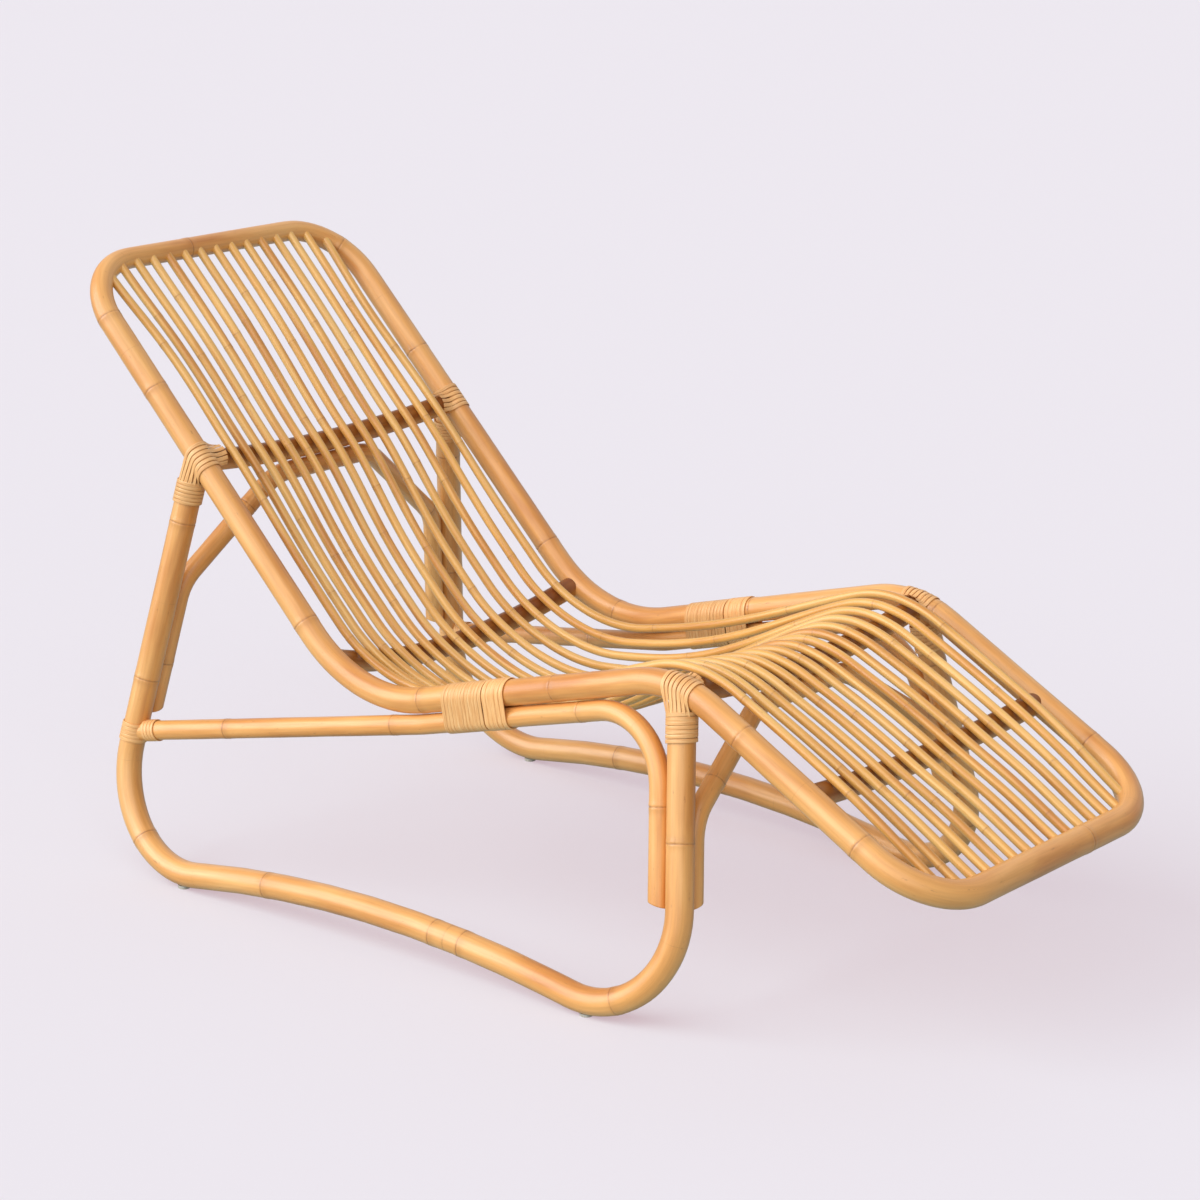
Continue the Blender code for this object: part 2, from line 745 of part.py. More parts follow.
def build_leg_bindings(side, sign, material):
    """Collars under both leg tops, and the wraps where the brace meets the rear leg."""
    loop = round_outline(LEG_D / 2)
    rear_top, rear_foot, _, front_foot, front_top = side_frame_corners(sign)
    rear = np.array([rear_top, rear_foot])
    front = np.array([front_top, front_foot])
    share = (rear_top[2] - BRACE_REAR_HEIGHT) / (rear_top[2] - rear_foot[2])
    wrap = path_lengths(rear)[-1] * share
    rear_collar = POLE_D / 2 + REAR_COLLAR_DROP
    front_collar = POLE_D / 2 + FRONT_COLLAR_DROP
    binding(f"binding_rear_leg_top_{side}", rear, rear_collar, REAR_COLLAR_LOOPS, loop, material)
    binding(f"binding_front_leg_top_{side}", front, front_collar, FRONT_COLLAR_LOOPS, loop, material)
    binding(f"binding_rear_leg_{side}", rear, wrap, LEG_WRAP_LOOPS, loop, material)
    brace = brace_path(sign)
    loop = round_outline(BRACE_D / 2)
    binding(f"binding_brace_end_{side}", brace, BRACE_END_REACH, BRACE_END_LOOPS, loop, material)


def build_bindings(material):
    for side, sign in SIDES.items():
        profile = side_profile(sign * SEAT_HALF_WIDTH)
        radius = POLE_D / 2
        upper = RAILS["cross_rail_upper_back"][0]
        knee = RAILS["cross_rail_knee"][0]
        loop = round_outline(radius)
        binding(f"binding_upper_back_{side}", profile, upper, UPPER_BACK_LOOPS, loop, material)
        binding(f"binding_knee_{side}", profile, knee, KNEE_LOOPS, loop, material)
        start = HIP_STATION + HIP_BEND_LENGTH + SEAT_BRACE_START
        middle = start + SEAT_BRACE_LOOPS * WIDE_STRIP_PITCH / 2
        apart = POLE_D / 2 + BRACE_D / 2 + GAP
        loop = twin_outline(POLE_D / 2, BRACE_D / 2, apart)
        binding(
            f"binding_seat_brace_{side}",
            profile,
            middle,
            SEAT_BRACE_LOOPS,
            loop,
            material,
            WIDE_STRIP_WIDTH,
            WIDE_STRIP_PITCH,
        )
        build_leg_bindings(side, sign, material)


def main():
    clear_scene()
    pole = make_material("rattan_pole", (0.62, 0.36, 0.14), 0.38)
    cane = make_material("rattan_cane", (0.68, 0.42, 0.17), 0.42)
    peel = make_material("rattan_peel", (0.72, 0.46, 0.20), 0.45)
    glide = make_material("glide_plastic", (0.55, 0.54, 0.52), 0.55)

    seat = build_seat_frame(pole)
    pole_cutters = {s: pole_cutter(f"cutter_pole_{s}", SIDES[s], GAP) for s in SIDES}
    bound = BOUND_SPARE + chord_sag(POLE_D / 2) + BEND_SPARE
    bound_cutters = {s: pole_cutter(f"cutter_bound_{s}", SIDES[s], bound) for s in SIDES}
    leg_cutters = {}
    for side in SIDES:
        build_side_frame(side, bound_cutters[side], pole)
        leg_cutters[side] = leg_cutter(f"cutter_leg_{side}", SIDES[side], GAP)
        wrapped = BOUND_SPARE + chord_sag(LEG_D / 2)
        build_side_brace(side, leg_cutter(f"cutter_wrap_{side}", SIDES[side], wrapped), pole)
    for name in RAILS:
        bound = name in ("cross_rail_upper_back", "cross_rail_knee")
        cutters = list((bound_cutters if bound else pole_cutters).values())
        if bound:
            cutters += list(leg_cutters.values())
        build_rail(name, cutters, pole)
    build_arches(pole)
    paths = build_slats(cane)
    cut(seat, socket_cutter(paths))
    build_glides(leg_cutters, glide)
    build_bindings(peel)


main()
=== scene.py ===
"""Looks for the rattan chaise longue: smooth varnished poles and canes with their growth rings,
and strands of split peel wound round the joints, in a plain pale studio.

Each pole, cane and winding is swept along the same centre line as the solid that it stands for,
in metres, with +X from head to foot, +Y to the sitter's left and +Z up.
"""

import math

import bmesh
import bpy
import numpy as np
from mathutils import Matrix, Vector


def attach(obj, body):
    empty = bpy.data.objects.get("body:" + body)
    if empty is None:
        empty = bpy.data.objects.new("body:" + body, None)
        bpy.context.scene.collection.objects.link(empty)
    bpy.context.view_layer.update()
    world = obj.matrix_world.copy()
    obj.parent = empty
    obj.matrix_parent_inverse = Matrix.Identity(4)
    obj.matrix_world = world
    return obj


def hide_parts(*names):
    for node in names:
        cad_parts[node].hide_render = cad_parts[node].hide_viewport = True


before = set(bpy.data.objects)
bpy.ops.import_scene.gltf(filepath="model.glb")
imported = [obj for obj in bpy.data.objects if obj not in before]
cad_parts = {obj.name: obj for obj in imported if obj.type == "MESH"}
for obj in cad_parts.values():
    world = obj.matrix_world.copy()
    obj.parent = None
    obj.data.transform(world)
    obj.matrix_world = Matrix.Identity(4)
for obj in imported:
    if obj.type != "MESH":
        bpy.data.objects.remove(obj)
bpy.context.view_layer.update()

# Seat loop
SEAT_HALF_WIDTH = 0.270
BACK_LENGTH = 0.8055
BACK_ANGLE = math.radians(45.0)
SEAT_LENGTH = 0.6024
SEAT_RISE = math.radians(15.1)
FOOT_LENGTH = 0.467
FOOT_DROP = math.radians(28.9)
HIP_HEIGHT = 0.304
HIP_RADIUS = 0.225
KNEE_RADIUS = 0.172
HEAD_CORNER_RADIUS = 0.105
FOOT_CORNER_RADIUS = 0.105
POLE_D = 0.038
HEAD_POLE_D = 0.033
FOOT_POLE_D = 0.040
HEAD_TAPER_LENGTH = 0.12

# Side frames
LEG_D = 0.039
REAR_LEG_LEAN = 0.168
FRONT_LEG_LEAN = 0.165
RUNNER_HALF_REAR = 0.391
RUNNER_HALF_FRONT = 0.368
RUNNER_TILT = math.radians(9.5)
REAR_FOOT_RADIUS = 0.145
FRONT_FOOT_RADIUS = 0.132
LEG_TOP_BELOW_POLE = 0.009
REAR_LEG_BEHIND_POLE = 0.010
RUNNER_ARCH_SHARE = 0.97
GLIDE_THICKNESS = 0.003

# Braces and arches, with the gap left where pieces touch
BRACE_D = 0.030
BRACE_REAR_HEIGHT = 0.205
BRACE_MEETS_BEFORE_SEAT = 0.012
BRACE_MEETS_RADIUS = 0.12
BRACE_FRONT_RADIUS = 0.100
BRACE_END_HEIGHT = 0.172
BRACE_LEAVES_AFTER_SEAT = 0.2214
ARCH_D = 0.030
ARCH_TOP_HALF = 0.100
ARCH_CORNER_RADIUS = 0.070
ARCH_LEG_TURN = math.radians(10.0)
REAR_ARCH_SHOULDER = 0.430
REAR_ARCH_FOOT = 0.236
FRONT_ARCH_SHOULDER = 0.281
FRONT_ARCH_FOOT = 0.170
TOUCH = 0.0003

# Cross rails: where each one meets the side poles, along the pole from the head rail, and its bow
RAIL_D = 0.033
RAILS = {
    "cross_rail_upper_back": (0.364, 0.030),
    "cross_rail_lower_back": (0.728, 0.055),
    "cross_rail_knee": (1.390, 0.030),
    "cross_rail_foot": (1.621, 0.019),
}
RAIL_END_INSIDE_POLE = 0.008

# Deck canes
CANE_COUNT = 15
CANE_PITCH = 0.0325
CANE_D = 0.013
CANE_HEAD_RISE = 0.006
CANE_FOOT_RISE = 0.003
CANE_END_DEPTH = 0.008
# Spacing of the canes at the head rail, the four cross rails and the foot rail, as shares of the pitch
CANE_GATHER = (1.0, 0.980, 0.963, 1.0, 0.997, 0.980)
# How far the outermost canes are drawn in there, and half way along each span between them
CANE_EDGE_DRAW = (0.0, 0.006, 0.0, 0.0, 0.0, 0.0)
CANE_SPAN_DRAW = (0.009, 0.0, 0.0, 0.0, 0.0)
# How far the middle canes rise half way along each span
CANE_SPAN_RISE = (0.004, -0.0085, -0.060, 0.0015, 0.003)

# Growth rings: where they lie along the near side's poles, and how far apart they grow elsewhere
SEAT_RINGS = (
    0.153, 0.484, 0.701, 1.132, 1.406, 1.700, 2.032, 2.303,
    2.475, 2.860, 3.080, 3.395, 3.669, 3.804, 4.230, 4.486,
)
NEAR_LEG_RINGS = (0.102, 0.346, 0.601, 0.876, 1.197, 1.250, 1.516, 1.776)
NEAR_BRACE_RINGS = (0.179, 0.482, 0.838, 1.060)
LEG_RING_SPACING = 0.26
RING_SPACING = 0.24
RAIL_RING_SPACING = 0.21
RING_END_ROOM = 0.03
# The swept poles are this much slimmer, so that their growth rings stay within the solids
RING_ROOM = 0.0005
# Relief of the rings on the poles, and on the canes
POLE_RELIEF = {
    "Ring Height": 0.0006,
    "Ring Width": 0.006,
    "Groove Depth": 0.0007,
    "Groove Width": 0.0011,
    "Ring Wander": 0.003,
    "Unevenness": 0.0006,
}
CANE_RELIEF = {
    "Ring Height": 0.0004,
    "Ring Width": 0.0035,
    "Groove Depth": 0.0004,
    "Groove Width": 0.0008,
    "Ring Wander": 0.0015,
    "Unevenness": 0.0005,
}
# Width of a ring's dark line, then the offset, width and strength of the smear beside it
RING_LINE = 0.0010
RING_SMEAR = (0.004, 0.007, 0.35)

# Fineness of the sweeps
BEND_STEP = math.radians(3)
BEND_LEAST_STEPS = 8
RAIL_POINTS = 61
CANE_STEP = 0.004
POLE_SIDES = 28
SEAT_POLE_SIDES = 36
CANE_SIDES = 16
POLE_STEP = 0.010
RING_REACH = 0.014
RING_STEP = 0.0014
RING_LEAST_STEP = 0.00056
END_REACH = 0.012
END_STATIONS = 9
END_LEAST_STEP = 0.0004

# Pole ends: the length over which each end is rounded, and how far it closes
POLE_ENDS = (0.004, 0.004)
LEG_ENDS = (0.012, 0.012)
BRACE_ENDS = (0.004, 0.0015)
ARCH_ENDS = (0.0015, 0.0015)
OPEN_ENDS = (0.0, 0.0)
END_CLOSING = 0.97
# Slanted ends: the slope of the cut, the length that it bends and how far it is looked for
BRACE_SLANT = -0.35
ARCH_SLANT = -0.45
SLANT_REACH = 0.035
SLANT_NEAR = 0.06
REAR_LEG_TOP_REACH = 0.016

# Strips of peel, and the rounding of their edges as a share of the thickness
STRIP_WIDTH = 0.0050
STRIP_THICKNESS = 0.0012
STRIP_ROUNDING = 0.48
STRIP_ROUND_STEPS = 3
# Strands of a winding: gap, lift off the pole, sway, and the part of a turn that is tucked under
STRAND_GAP = 0.0003
STRAND_LIFT = 0.0002
STRAND_SWAY = 0.0003
STRAND_TUCK = 0.12
STRAND_TONES = (0.25, 0.9)
POLE_OUTLINE_POINTS = 32
TWIN_OUTLINE_POINTS = (17, 15)
# Windings round one pole: where each starts along it, its loops and their pitch
REAR_COLLAR = (0.032, 6, 0.0056)
FRONT_COLLAR = (0.029, 7, 0.0058)
BRACE_END_WRAP = (0.024, 4, 0.0058)
# The rear leg's wrap is measured from where the brace meets the leg
REAR_LEG_WRAP = (-0.0145, 5, 0.0058)
COLLAR_LIFT = 0.0010
# Winding round seat pole and brace: thin strands, then a raised band, all leaning forward
SEAT_WINDING_AFTER_HIP = 0.054
SEAT_JOIN_IN_WINDING = 0.05
SEAT_STRAND_LOOPS = 12
SEAT_STRAND_PITCH = 0.0064
SEAT_BAND_GAP = 0.0022
SEAT_BAND_LOOPS = 5
SEAT_BAND_PITCH = 0.0080
SEAT_BAND_THICKNESS = 0.0017
SEAT_BAND_TONE = 0.95
STRAND_LEAN = 0.21

# Lashings: the rail, the strands, how far apart the outer ones lie along the pole, the first and
# last angle round the leg from its outer side, and how far inside the pole they end on the rail
LASHINGS = {
    "upper_back": ("cross_rail_upper_back", 6, 0.036, (-0.30, 1.30), 0.036),
    "knee": ("cross_rail_knee", 7, 0.040, (-0.66, 1.06), 0.023),
}
LASHING_WIDTH = 0.0057
LASHING_SWELL = (1.10, 0.98)
LASHING_TONES = (0.3, 0.95)
LASHING_SKIN = 0.0009
# Where the strands end down the leg, and the angle that their other ends span round the rail
LASHING_DROP = 0.034
LASHING_RAIL_TURN = math.radians(130)
# Angles over the pole, shares of the way from there to the leg, and points of the drawn strand
LASHING_ANGLES = np.radians(np.arange(30, 166, 9))
LASHING_WAY_DOWN = np.linspace(0.12, 1.0, 9)
LASHING_POINTS = 46
LASHING_DRAWS = 14
FACING_DRAWS = 4
FACING_FALL = 0.004
# The pole as short straight cores, and the rail's end as one: its drop, reach inward and drop there
CORE_REACH = 0.06
CORE_STEP = 0.01
RAIL_CORE = (0.001, 0.10, 0.010)

# Colours in 0-255 steps: dark, middle and light cane, then the growth rings
POLE_COLOURS = ((213, 138, 64), (232, 165, 90), (242, 182, 110), (140, 76, 28))
RAIL_COLOURS = ((192, 118, 48), (218, 150, 72), (232, 168, 92), (112, 60, 20))
CANE_COLOURS = ((211, 142, 60), (234, 176, 90), (244, 195, 116), (144, 84, 30))
PEEL_COLOURS = ((216, 152, 92), (236, 178, 114), (246, 200, 142))
GLIDE_COLOURS = ((196, 192, 184), (178, 172, 162))
# Tints, in linear light: dark fibres, and the painted shade on the side of the rails under the deck,
# which faces this way
GRAIN_TINT = (0.80, 0.74, 0.66, 1.0)
WHITE = (1.0, 1.0, 1.0, 1.0)
RAIL_PAINTED_SHADE = (0.44, 0.32, 0.20, 1.0)
DECK_OUTWARD = (0.42, 0.0, 0.91)

# Studio
FLOOR_HALF_WIDTH = 40.0
FLOOR_COLOUR = (0.34, 0.45, 0.46, 1.0)
FLOOR_GLOW = (0.485, 0.338, 0.398, 1.0)
BACKDROP = (236, 232, 238)
SKY_COLOUR = (1.0, 0.95, 0.90, 1.0)
SKY_LEVEL = 0.42
# Soft lamps: name, level, spread and the direction that each one shines from
SOFT_LAMPS = (
    ("key_softbox", 2.2, math.radians(54), (-0.55, -0.70, 0.48)),
    ("front_softbox", 1.5, math.radians(76), (0.35, -0.75, 0.55)),
    ("back_softbox", 0.35, math.radians(80), (-0.30, 0.80, 0.50)),
)
CAMERA_LENS = 97.35
CAMERA_TURN = math.radians(40.072)
CAMERA_DOWN = math.radians(15.648)
CAMERA_PLACE = (2.898, -3.433, 1.700)

SIDES = {"left": 1, "right": -1}
CHANCE = np.random.default_rng(23)

# Sizes that follow from those above
HIP_REACH = HIP_RADIUS * math.tan((BACK_ANGLE + SEAT_RISE) / 2)
BACK_RUN = BACK_LENGTH * math.cos(BACK_ANGLE)
SEAT_RUN = SEAT_LENGTH * math.cos(SEAT_RISE)
FOOT_RUN = FOOT_LENGTH * math.cos(FOOT_DROP)
OVERALL_LENGTH = HEAD_POLE_D / 2 + BACK_RUN + SEAT_RUN + FOOT_RUN + FOOT_POLE_D / 2
HEAD_X = HEAD_POLE_D / 2 - OVERALL_LENGTH / 2
HIP_X = HEAD_X + BACK_RUN
KNEE_X = HIP_X + SEAT_RUN
FOOT_X = KNEE_X + FOOT_RUN
HEAD_Z = HIP_HEIGHT + BACK_LENGTH * math.sin(BACK_ANGLE)
KNEE_Z = HIP_HEIGHT + SEAT_LENGTH * math.sin(SEAT_RISE)
FOOT_Z = KNEE_Z - FOOT_LENGTH * math.sin(FOOT_DROP)
PROFILE = ((HEAD_X, HEAD_Z), (HIP_X, HIP_HEIGHT), (KNEE_X, KNEE_Z), (FOOT_X, FOOT_Z))
HIP_STATION = BACK_LENGTH - HIP_REACH
HIP_BEND_LENGTH = HIP_RADIUS * (BACK_ANGLE + SEAT_RISE)
FLOOR_POLE = GLIDE_THICKNESS + LEG_D / 2
SEAT_WINDING_START = HIP_STATION + HIP_BEND_LENGTH + SEAT_WINDING_AFTER_HIP
SEAT_BAND_START = SEAT_WINDING_START + SEAT_STRAND_LOOPS * SEAT_STRAND_PITCH + SEAT_BAND_GAP


def unit(vector):
    vector = np.asarray(vector, float)
    return vector / np.linalg.norm(vector)


# Centre lines


def bend(before, corner, after, radius):
    """Points of the arc that rounds one corner."""
    into = unit(corner - before)
    out = unit(after - corner)
    turn = math.acos(np.clip(into @ out, -1.0, 1.0))
    if radius == 0 or turn < 1e-6:
        return [corner]
    start = corner - into * radius * math.tan(turn / 2)
    inward = unit(out - into * (into @ out))
    centre = start + inward * radius
    count = max(BEND_LEAST_STEPS, math.ceil(turn / BEND_STEP))
    angles = [turn * index / count for index in range(count + 1)]
    return [centre + radius * (into * math.sin(a) - inward * math.cos(a)) for a in angles]


def bent_line(corners, radii, closed=False):
    """The line through the corners with its bends rounded."""
    corners = [np.asarray(corner, float) for corner in corners]
    last = len(corners) - 1
    points = []
    for index, corner in enumerate(corners):
        if not closed and index in (0, last):
            points.append(corner)
        else:
            after = corners[(index + 1) % len(corners)]
            points.extend(bend(corners[index - 1], corner, after, radii[index]))
    return np.array(points)


def measured(points):
    """Distance along the line at each of its points."""
    steps = np.linalg.norm(np.diff(points, axis=0), axis=1)
    return np.concatenate([[0.0], np.cumsum(steps)])


def at(points, distances):
    """Points of the line at these distances along it."""
    along = measured(points)
    columns = [np.interp(distances, along, points[:, axis]) for axis in range(3)]
    return np.stack(columns, axis=-1)


def frame_at(points, distance, reach=0.004):
    """Centre, direction, sideways vector and upward normal of the line at this distance."""
    centre = at(points, distance)
    along = unit(at(points, distance + reach) - at(points, distance - reach))
    across = unit(np.array([0.0, 1.0, 0.0]) - along * along[1])
    return centre, along, across, np.cross(along, across)


def distances_to(point, loop):
    """Distance from the point to each straight piece of the closed loop."""
    runs = np.roll(loop, -1, axis=0) - loop
    share = np.clip(((point - loop) * runs).sum(1) / ((runs * runs).sum(1) + 1e-12), 0, 1)
    return np.linalg.norm(point - loop - share[:, None] * runs, axis=1)


def trimmed(points, start, end):
    """The line without its first `start` and last `end` metres."""
    along = measured(points)
    inside = (along > start) & (along < along[-1] - end)
    first = at(points, start)
    last = at(points, along[-1] - end)
    return np.vstack([[first], points[inside], [last]])


def side_profile(y):
    return bent_line([(x, y, z) for x, z in PROFILE], [0, HIP_RADIUS, KNEE_RADIUS, 0])


def seat_loop():
    """The closed loop, started where the near seat winding hides the join."""
    radii = [HEAD_CORNER_RADIUS, HIP_RADIUS, KNEE_RADIUS, FOOT_CORNER_RADIUS]
    corners = [(x, -SEAT_HALF_WIDTH, z) for x, z in PROFILE]
    corners += [(x, SEAT_HALF_WIDTH, z) for x, z in reversed(PROFILE)]
    points = bent_line(corners, radii + radii[::-1], closed=True)
    start = at(side_profile(-SEAT_HALF_WIDTH), SEAT_WINDING_START + SEAT_JOIN_IN_WINDING)
    index = distances_to(start, points).argmin()
    return np.vstack([[start], np.roll(points, -index - 1, axis=0), [start]])


def pole_radius(x):
    taper = HEAD_TAPER_LENGTH * math.cos(BACK_ANGLE)
    places = [HEAD_X, HEAD_X + taper, KNEE_X, FOOT_X]
    return np.interp(x, places, [HEAD_POLE_D / 2, POLE_D / 2, POLE_D / 2, FOOT_POLE_D / 2])


def foot_reach(radius, lean):
    return radius * math.tan((math.pi / 2 + math.atan(lean) + RUNNER_TILT) / 2)


def foot_drop(radius, lean):
    return foot_reach(radius, lean) * math.sin(RUNNER_TILT) - radius * (1 - math.cos(RUNNER_TILT))


def side_frame_corners(sign):
    """Rear leg top, rear bend, middle of the arched runner, front bend and front leg top."""
    profile = side_profile(sign * SEAT_HALF_WIDTH)
    rear_top = at(profile, RAILS["cross_rail_upper_back"][0])
    rear_top[0] -= REAR_LEG_BEHIND_POLE
    front_top = at(profile, RAILS["cross_rail_knee"][0])
    rear_z = FLOOR_POLE - foot_drop(REAR_FOOT_RADIUS, REAR_LEG_LEAN)
    front_z = FLOOR_POLE - foot_drop(FRONT_FOOT_RADIUS, FRONT_LEG_LEAN)
    rear_x = rear_top[0] - REAR_LEG_LEAN * (rear_top[2] - rear_z)
    front_x = front_top[0] + FRONT_LEG_LEAN * (front_top[2] - front_z)
    rear = np.array([rear_x, sign * RUNNER_HALF_REAR, rear_z])
    front = np.array([front_x, sign * RUNNER_HALF_FRONT, front_z])
    middle = (rear + front) / 2
    middle[2] += math.tan(RUNNER_TILT) * (front_x - rear_x) / 2
    return rear_top, rear, middle, front, front_top


def side_frame_line(sign):
    corners = side_frame_corners(sign)
    half_run = np.linalg.norm(corners[2] - corners[1])
    taken = max(
        foot_reach(REAR_FOOT_RADIUS, REAR_LEG_LEAN), foot_reach(FRONT_FOOT_RADIUS, FRONT_LEG_LEAN)
    )
    arch = RUNNER_ARCH_SHARE * (half_run - taken) / math.tan(RUNNER_TILT)
    line = bent_line(corners, [0, REAR_FOOT_RADIUS, arch, FRONT_FOOT_RADIUS, 0])
    return trimmed(line, LEG_TOP_BELOW_POLE, LEG_TOP_BELOW_POLE)


def leg_at(sign, height, front):
    """Centre of a leg at this height, and the leg's upward direction."""
    corners = side_frame_corners(sign)
    top, foot = (corners[4], corners[3]) if front else (corners[0], corners[1])
    share = (height - foot[2]) / (top[2] - foot[2])
    return foot + (top - foot) * share, unit(top - foot)


def brace_line(sign):
    """From the rear leg, along under the seat pole, and down the back of the front leg."""
    below = POLE_D / 2 + BRACE_D / 2 + TOUCH
    along = np.array([math.cos(SEAT_RISE), 0.0, math.sin(SEAT_RISE)])
    down = np.array([math.sin(SEAT_RISE), 0.0, -math.cos(SEAT_RISE)])
    hip_end = np.array([HIP_X, sign * SEAT_HALF_WIDTH, HIP_HEIGHT]) + along * HIP_REACH
    meets = hip_end + down * below - along * BRACE_MEETS_BEFORE_SEAT
    leaves = meets + along * BRACE_LEAVES_AFTER_SEAT
    rear, _ = leg_at(sign, BRACE_REAR_HEIGHT, front=False)
    leg_low, up = leg_at(sign, BRACE_END_HEIGHT, front=True)
    behind = unit(np.array([-1.0, 0.0, 0.0]) - up * (-up[0]))
    low = leg_low + behind * (LEG_D / 2 + BRACE_D / 2 + TOUCH)
    sides = np.array([[up[0], -along[0]], [up[2], -along[2]]])
    lift = np.linalg.solve(sides, [meets[0] - low[0], meets[2] - low[2]])[0]
    corners = [rear, meets, leaves, low + up * lift, low]
    return bent_line(corners, [0, BRACE_MEETS_RADIUS, BRACE_MEETS_RADIUS, BRACE_FRONT_RADIUS, 0])


def rail_sag(bow, y):
    return -bow * (1 - (y / SEAT_HALF_WIDTH) ** 2)


def rail_line(name):
    distance, bow = RAILS[name]
    centre, _, _, up = frame_at(side_profile(0.0), distance)
    half = SEAT_HALF_WIDTH - RAIL_END_INSIDE_POLE
    ys = np.linspace(-half, half, RAIL_POINTS)
    return np.array([centre + np.array([0.0, y, 0.0]) + up * rail_sag(bow, y) for y in ys])


def arch_line(front):
    """Up the inner side of one leg, under the rail and down the other leg."""
    distance, bow = RAILS["cross_rail_knee" if front else "cross_rail_upper_back"]
    shoulder = FRONT_ARCH_SHOULDER if front else REAR_ARCH_SHOULDER
    foot = FRONT_ARCH_FOOT if front else REAR_ARCH_FOOT
    centre, _, _, up = frame_at(side_profile(0.0), distance)
    top = centre - up * bow - np.array([0.0, 0.0, RAIL_D / 2 + ARCH_D / 2 + TOUCH])
    towards = np.array([-math.sin(ARCH_LEG_TURN), math.cos(ARCH_LEG_TURN), 0.0])
    corners = []
    for height in (foot, shoulder):
        leg, up_leg = leg_at(-1, height, front)
        inward = unit(towards - up_leg * (up_leg @ towards))
        corners.append(leg + inward * (LEG_D / 2 + ARCH_D / 2 + TOUCH))
    corners.append(np.array([top[0], -ARCH_TOP_HALF, top[2]]))
    corners += [corner * np.array([1.0, -1.0, 1.0]) for corner in reversed(corners)]
    return bent_line(corners, [0] + [ARCH_CORNER_RADIUS] * 4 + [0])


def edge_share(y):
    """1 at the outermost canes, falling fast to nothing towards the middle."""
    return (y / ((CANE_COUNT - 1) / 2 * CANE_PITCH)) ** 4


def cane_marks(y):
    """Distances along the deck, and there the cane's height over the poles and its place across."""
    draw = math.copysign(edge_share(y), y)
    places = [y * share - draw * edge for share, edge in zip(CANE_GATHER, CANE_EDGE_DRAW)]
    marks = [(0.0, CANE_HEAD_RISE, places[0])]
    for (distance, bow), place in zip(RAILS.values(), places[1:]):
        slope = 2 * bow * place / SEAT_HALF_WIDTH**2
        lift = (RAIL_D / 2 + CANE_D / 2 + TOUCH) * math.hypot(1.0, slope)
        marks.append((distance, rail_sag(bow, place) + lift, place))
    marks.append((measured(side_profile(0.0))[-1], CANE_FOOT_RISE, places[-1]))
    return np.array(marks)


def cane_line(index, loop):
    """One deck cane over all four rails, from inside the head rail to inside the foot rail."""
    profile = side_profile(0.0)
    marks = cane_marks((index - (CANE_COUNT - 1) / 2) * CANE_PITCH)
    points = []
    for distance in np.arange(0.0, marks[-1][0], CANE_STEP):
        centre, _, _, up = frame_at(profile, distance)
        part = int(np.clip(np.searchsorted(marks[:, 0], distance) - 1, 0, len(marks) - 2))
        start, end = marks[part], marks[part + 1]
        share = np.clip((distance - start[0]) / (end[0] - start[0]), 0, 1)
        _, height, place = start + (end - start) * share * share * (3 - 2 * share)
        swell = math.sin(math.pi * share) ** 2
        height += CANE_SPAN_RISE[part] * swell * (1 - (place / SEAT_HALF_WIDTH) ** 2)
        place -= math.copysign(CANE_SPAN_DRAW[part] * swell * edge_share(place), place)
        points.append(centre + up * height + np.array([0.0, place, 0.0]))
    points = np.array(points)
    depths = np.array([pole_radius(point[0]) - distances_to(point, loop).min() for point in points])
    middle = len(points) // 2
    buried = np.flatnonzero(depths >= CANE_END_DEPTH)
    first = buried[buried < middle].max()
    last = buried[buried > middle].min()
    return points[first : last + 1]


# Trees


class Tree:
    """Adds nodes to a tree and joins them in one call each."""

    def __init__(self, tree):
        self.tree = tree

    def join(self, value, socket):
        """Links an output to the socket, or gives the socket a plain value."""
        if isinstance(value, bpy.types.NodeSocket):
            self.tree.links.new(value, socket)
        else:
            socket.default_value = value

    def add(self, kind, inputs=None, **settings):
        node = self.tree.nodes.new(kind)
        for name, value in settings.items():
            setattr(node, name, value)
        for key, value in (inputs or {}).items():
            self.join(value, node.inputs[key])
        return node

    def maths(self, operation, first, second=0.0):
        return self.add("ShaderNodeMath", {0: first, 1: second}, operation=operation).outputs[0]

    def bell(self, distance, width):
        """1 where the distance is 0, falling to nothing past the width."""
        ratio = self.maths("DIVIDE", distance, width)
        square = self.maths("MULTIPLY", ratio, ratio)
        return self.maths("EXPONENT", self.maths("MULTIPLY", square, -1.0))

    def scaled(self, vector, factor):
        inputs = {0: vector, "Scale": factor}
        return self.add("ShaderNodeVectorMath", inputs, operation="SCALE").outputs[0]

    def lifted(self, vector, height):
        """The vector with its Z raised by the height."""
        lift = self.add("ShaderNodeCombineXYZ", {"Z": height}).outputs[0]
        return self.add("ShaderNodeVectorMath", {0: vector, 1: lift}, operation="ADD").outputs[0]

    def noise(self, place, scale, detail, roughness=0.5):
        inputs = {"Vector": place, "Scale": scale, "Detail": detail, "Roughness": roughness}
        return self.add("ShaderNodeTexNoise", inputs).outputs[0]

    def span(self, value, start, end, low=0.0, high=1.0):
        """The value's run from start to end as a run from low to high, held there."""
        inputs = {"Value": value, "From Min": start, "From Max": end, "To Min": low, "To Max": high}
        return self.add("ShaderNodeMapRange", inputs).outputs[0]

    def store(self, geometry, name, value, kind="FLOAT"):
        inputs = {"Geometry": geometry, "Name": name, "Value": value}
        node = self.add("GeometryNodeStoreNamedAttribute", inputs, data_type=kind, domain="POINT")
        return node.outputs[0]

    def named(self, name, kind="FLOAT"):
        node = self.add("GeometryNodeInputNamedAttribute", {"Name": name}, data_type=kind)
        return node.outputs[0]


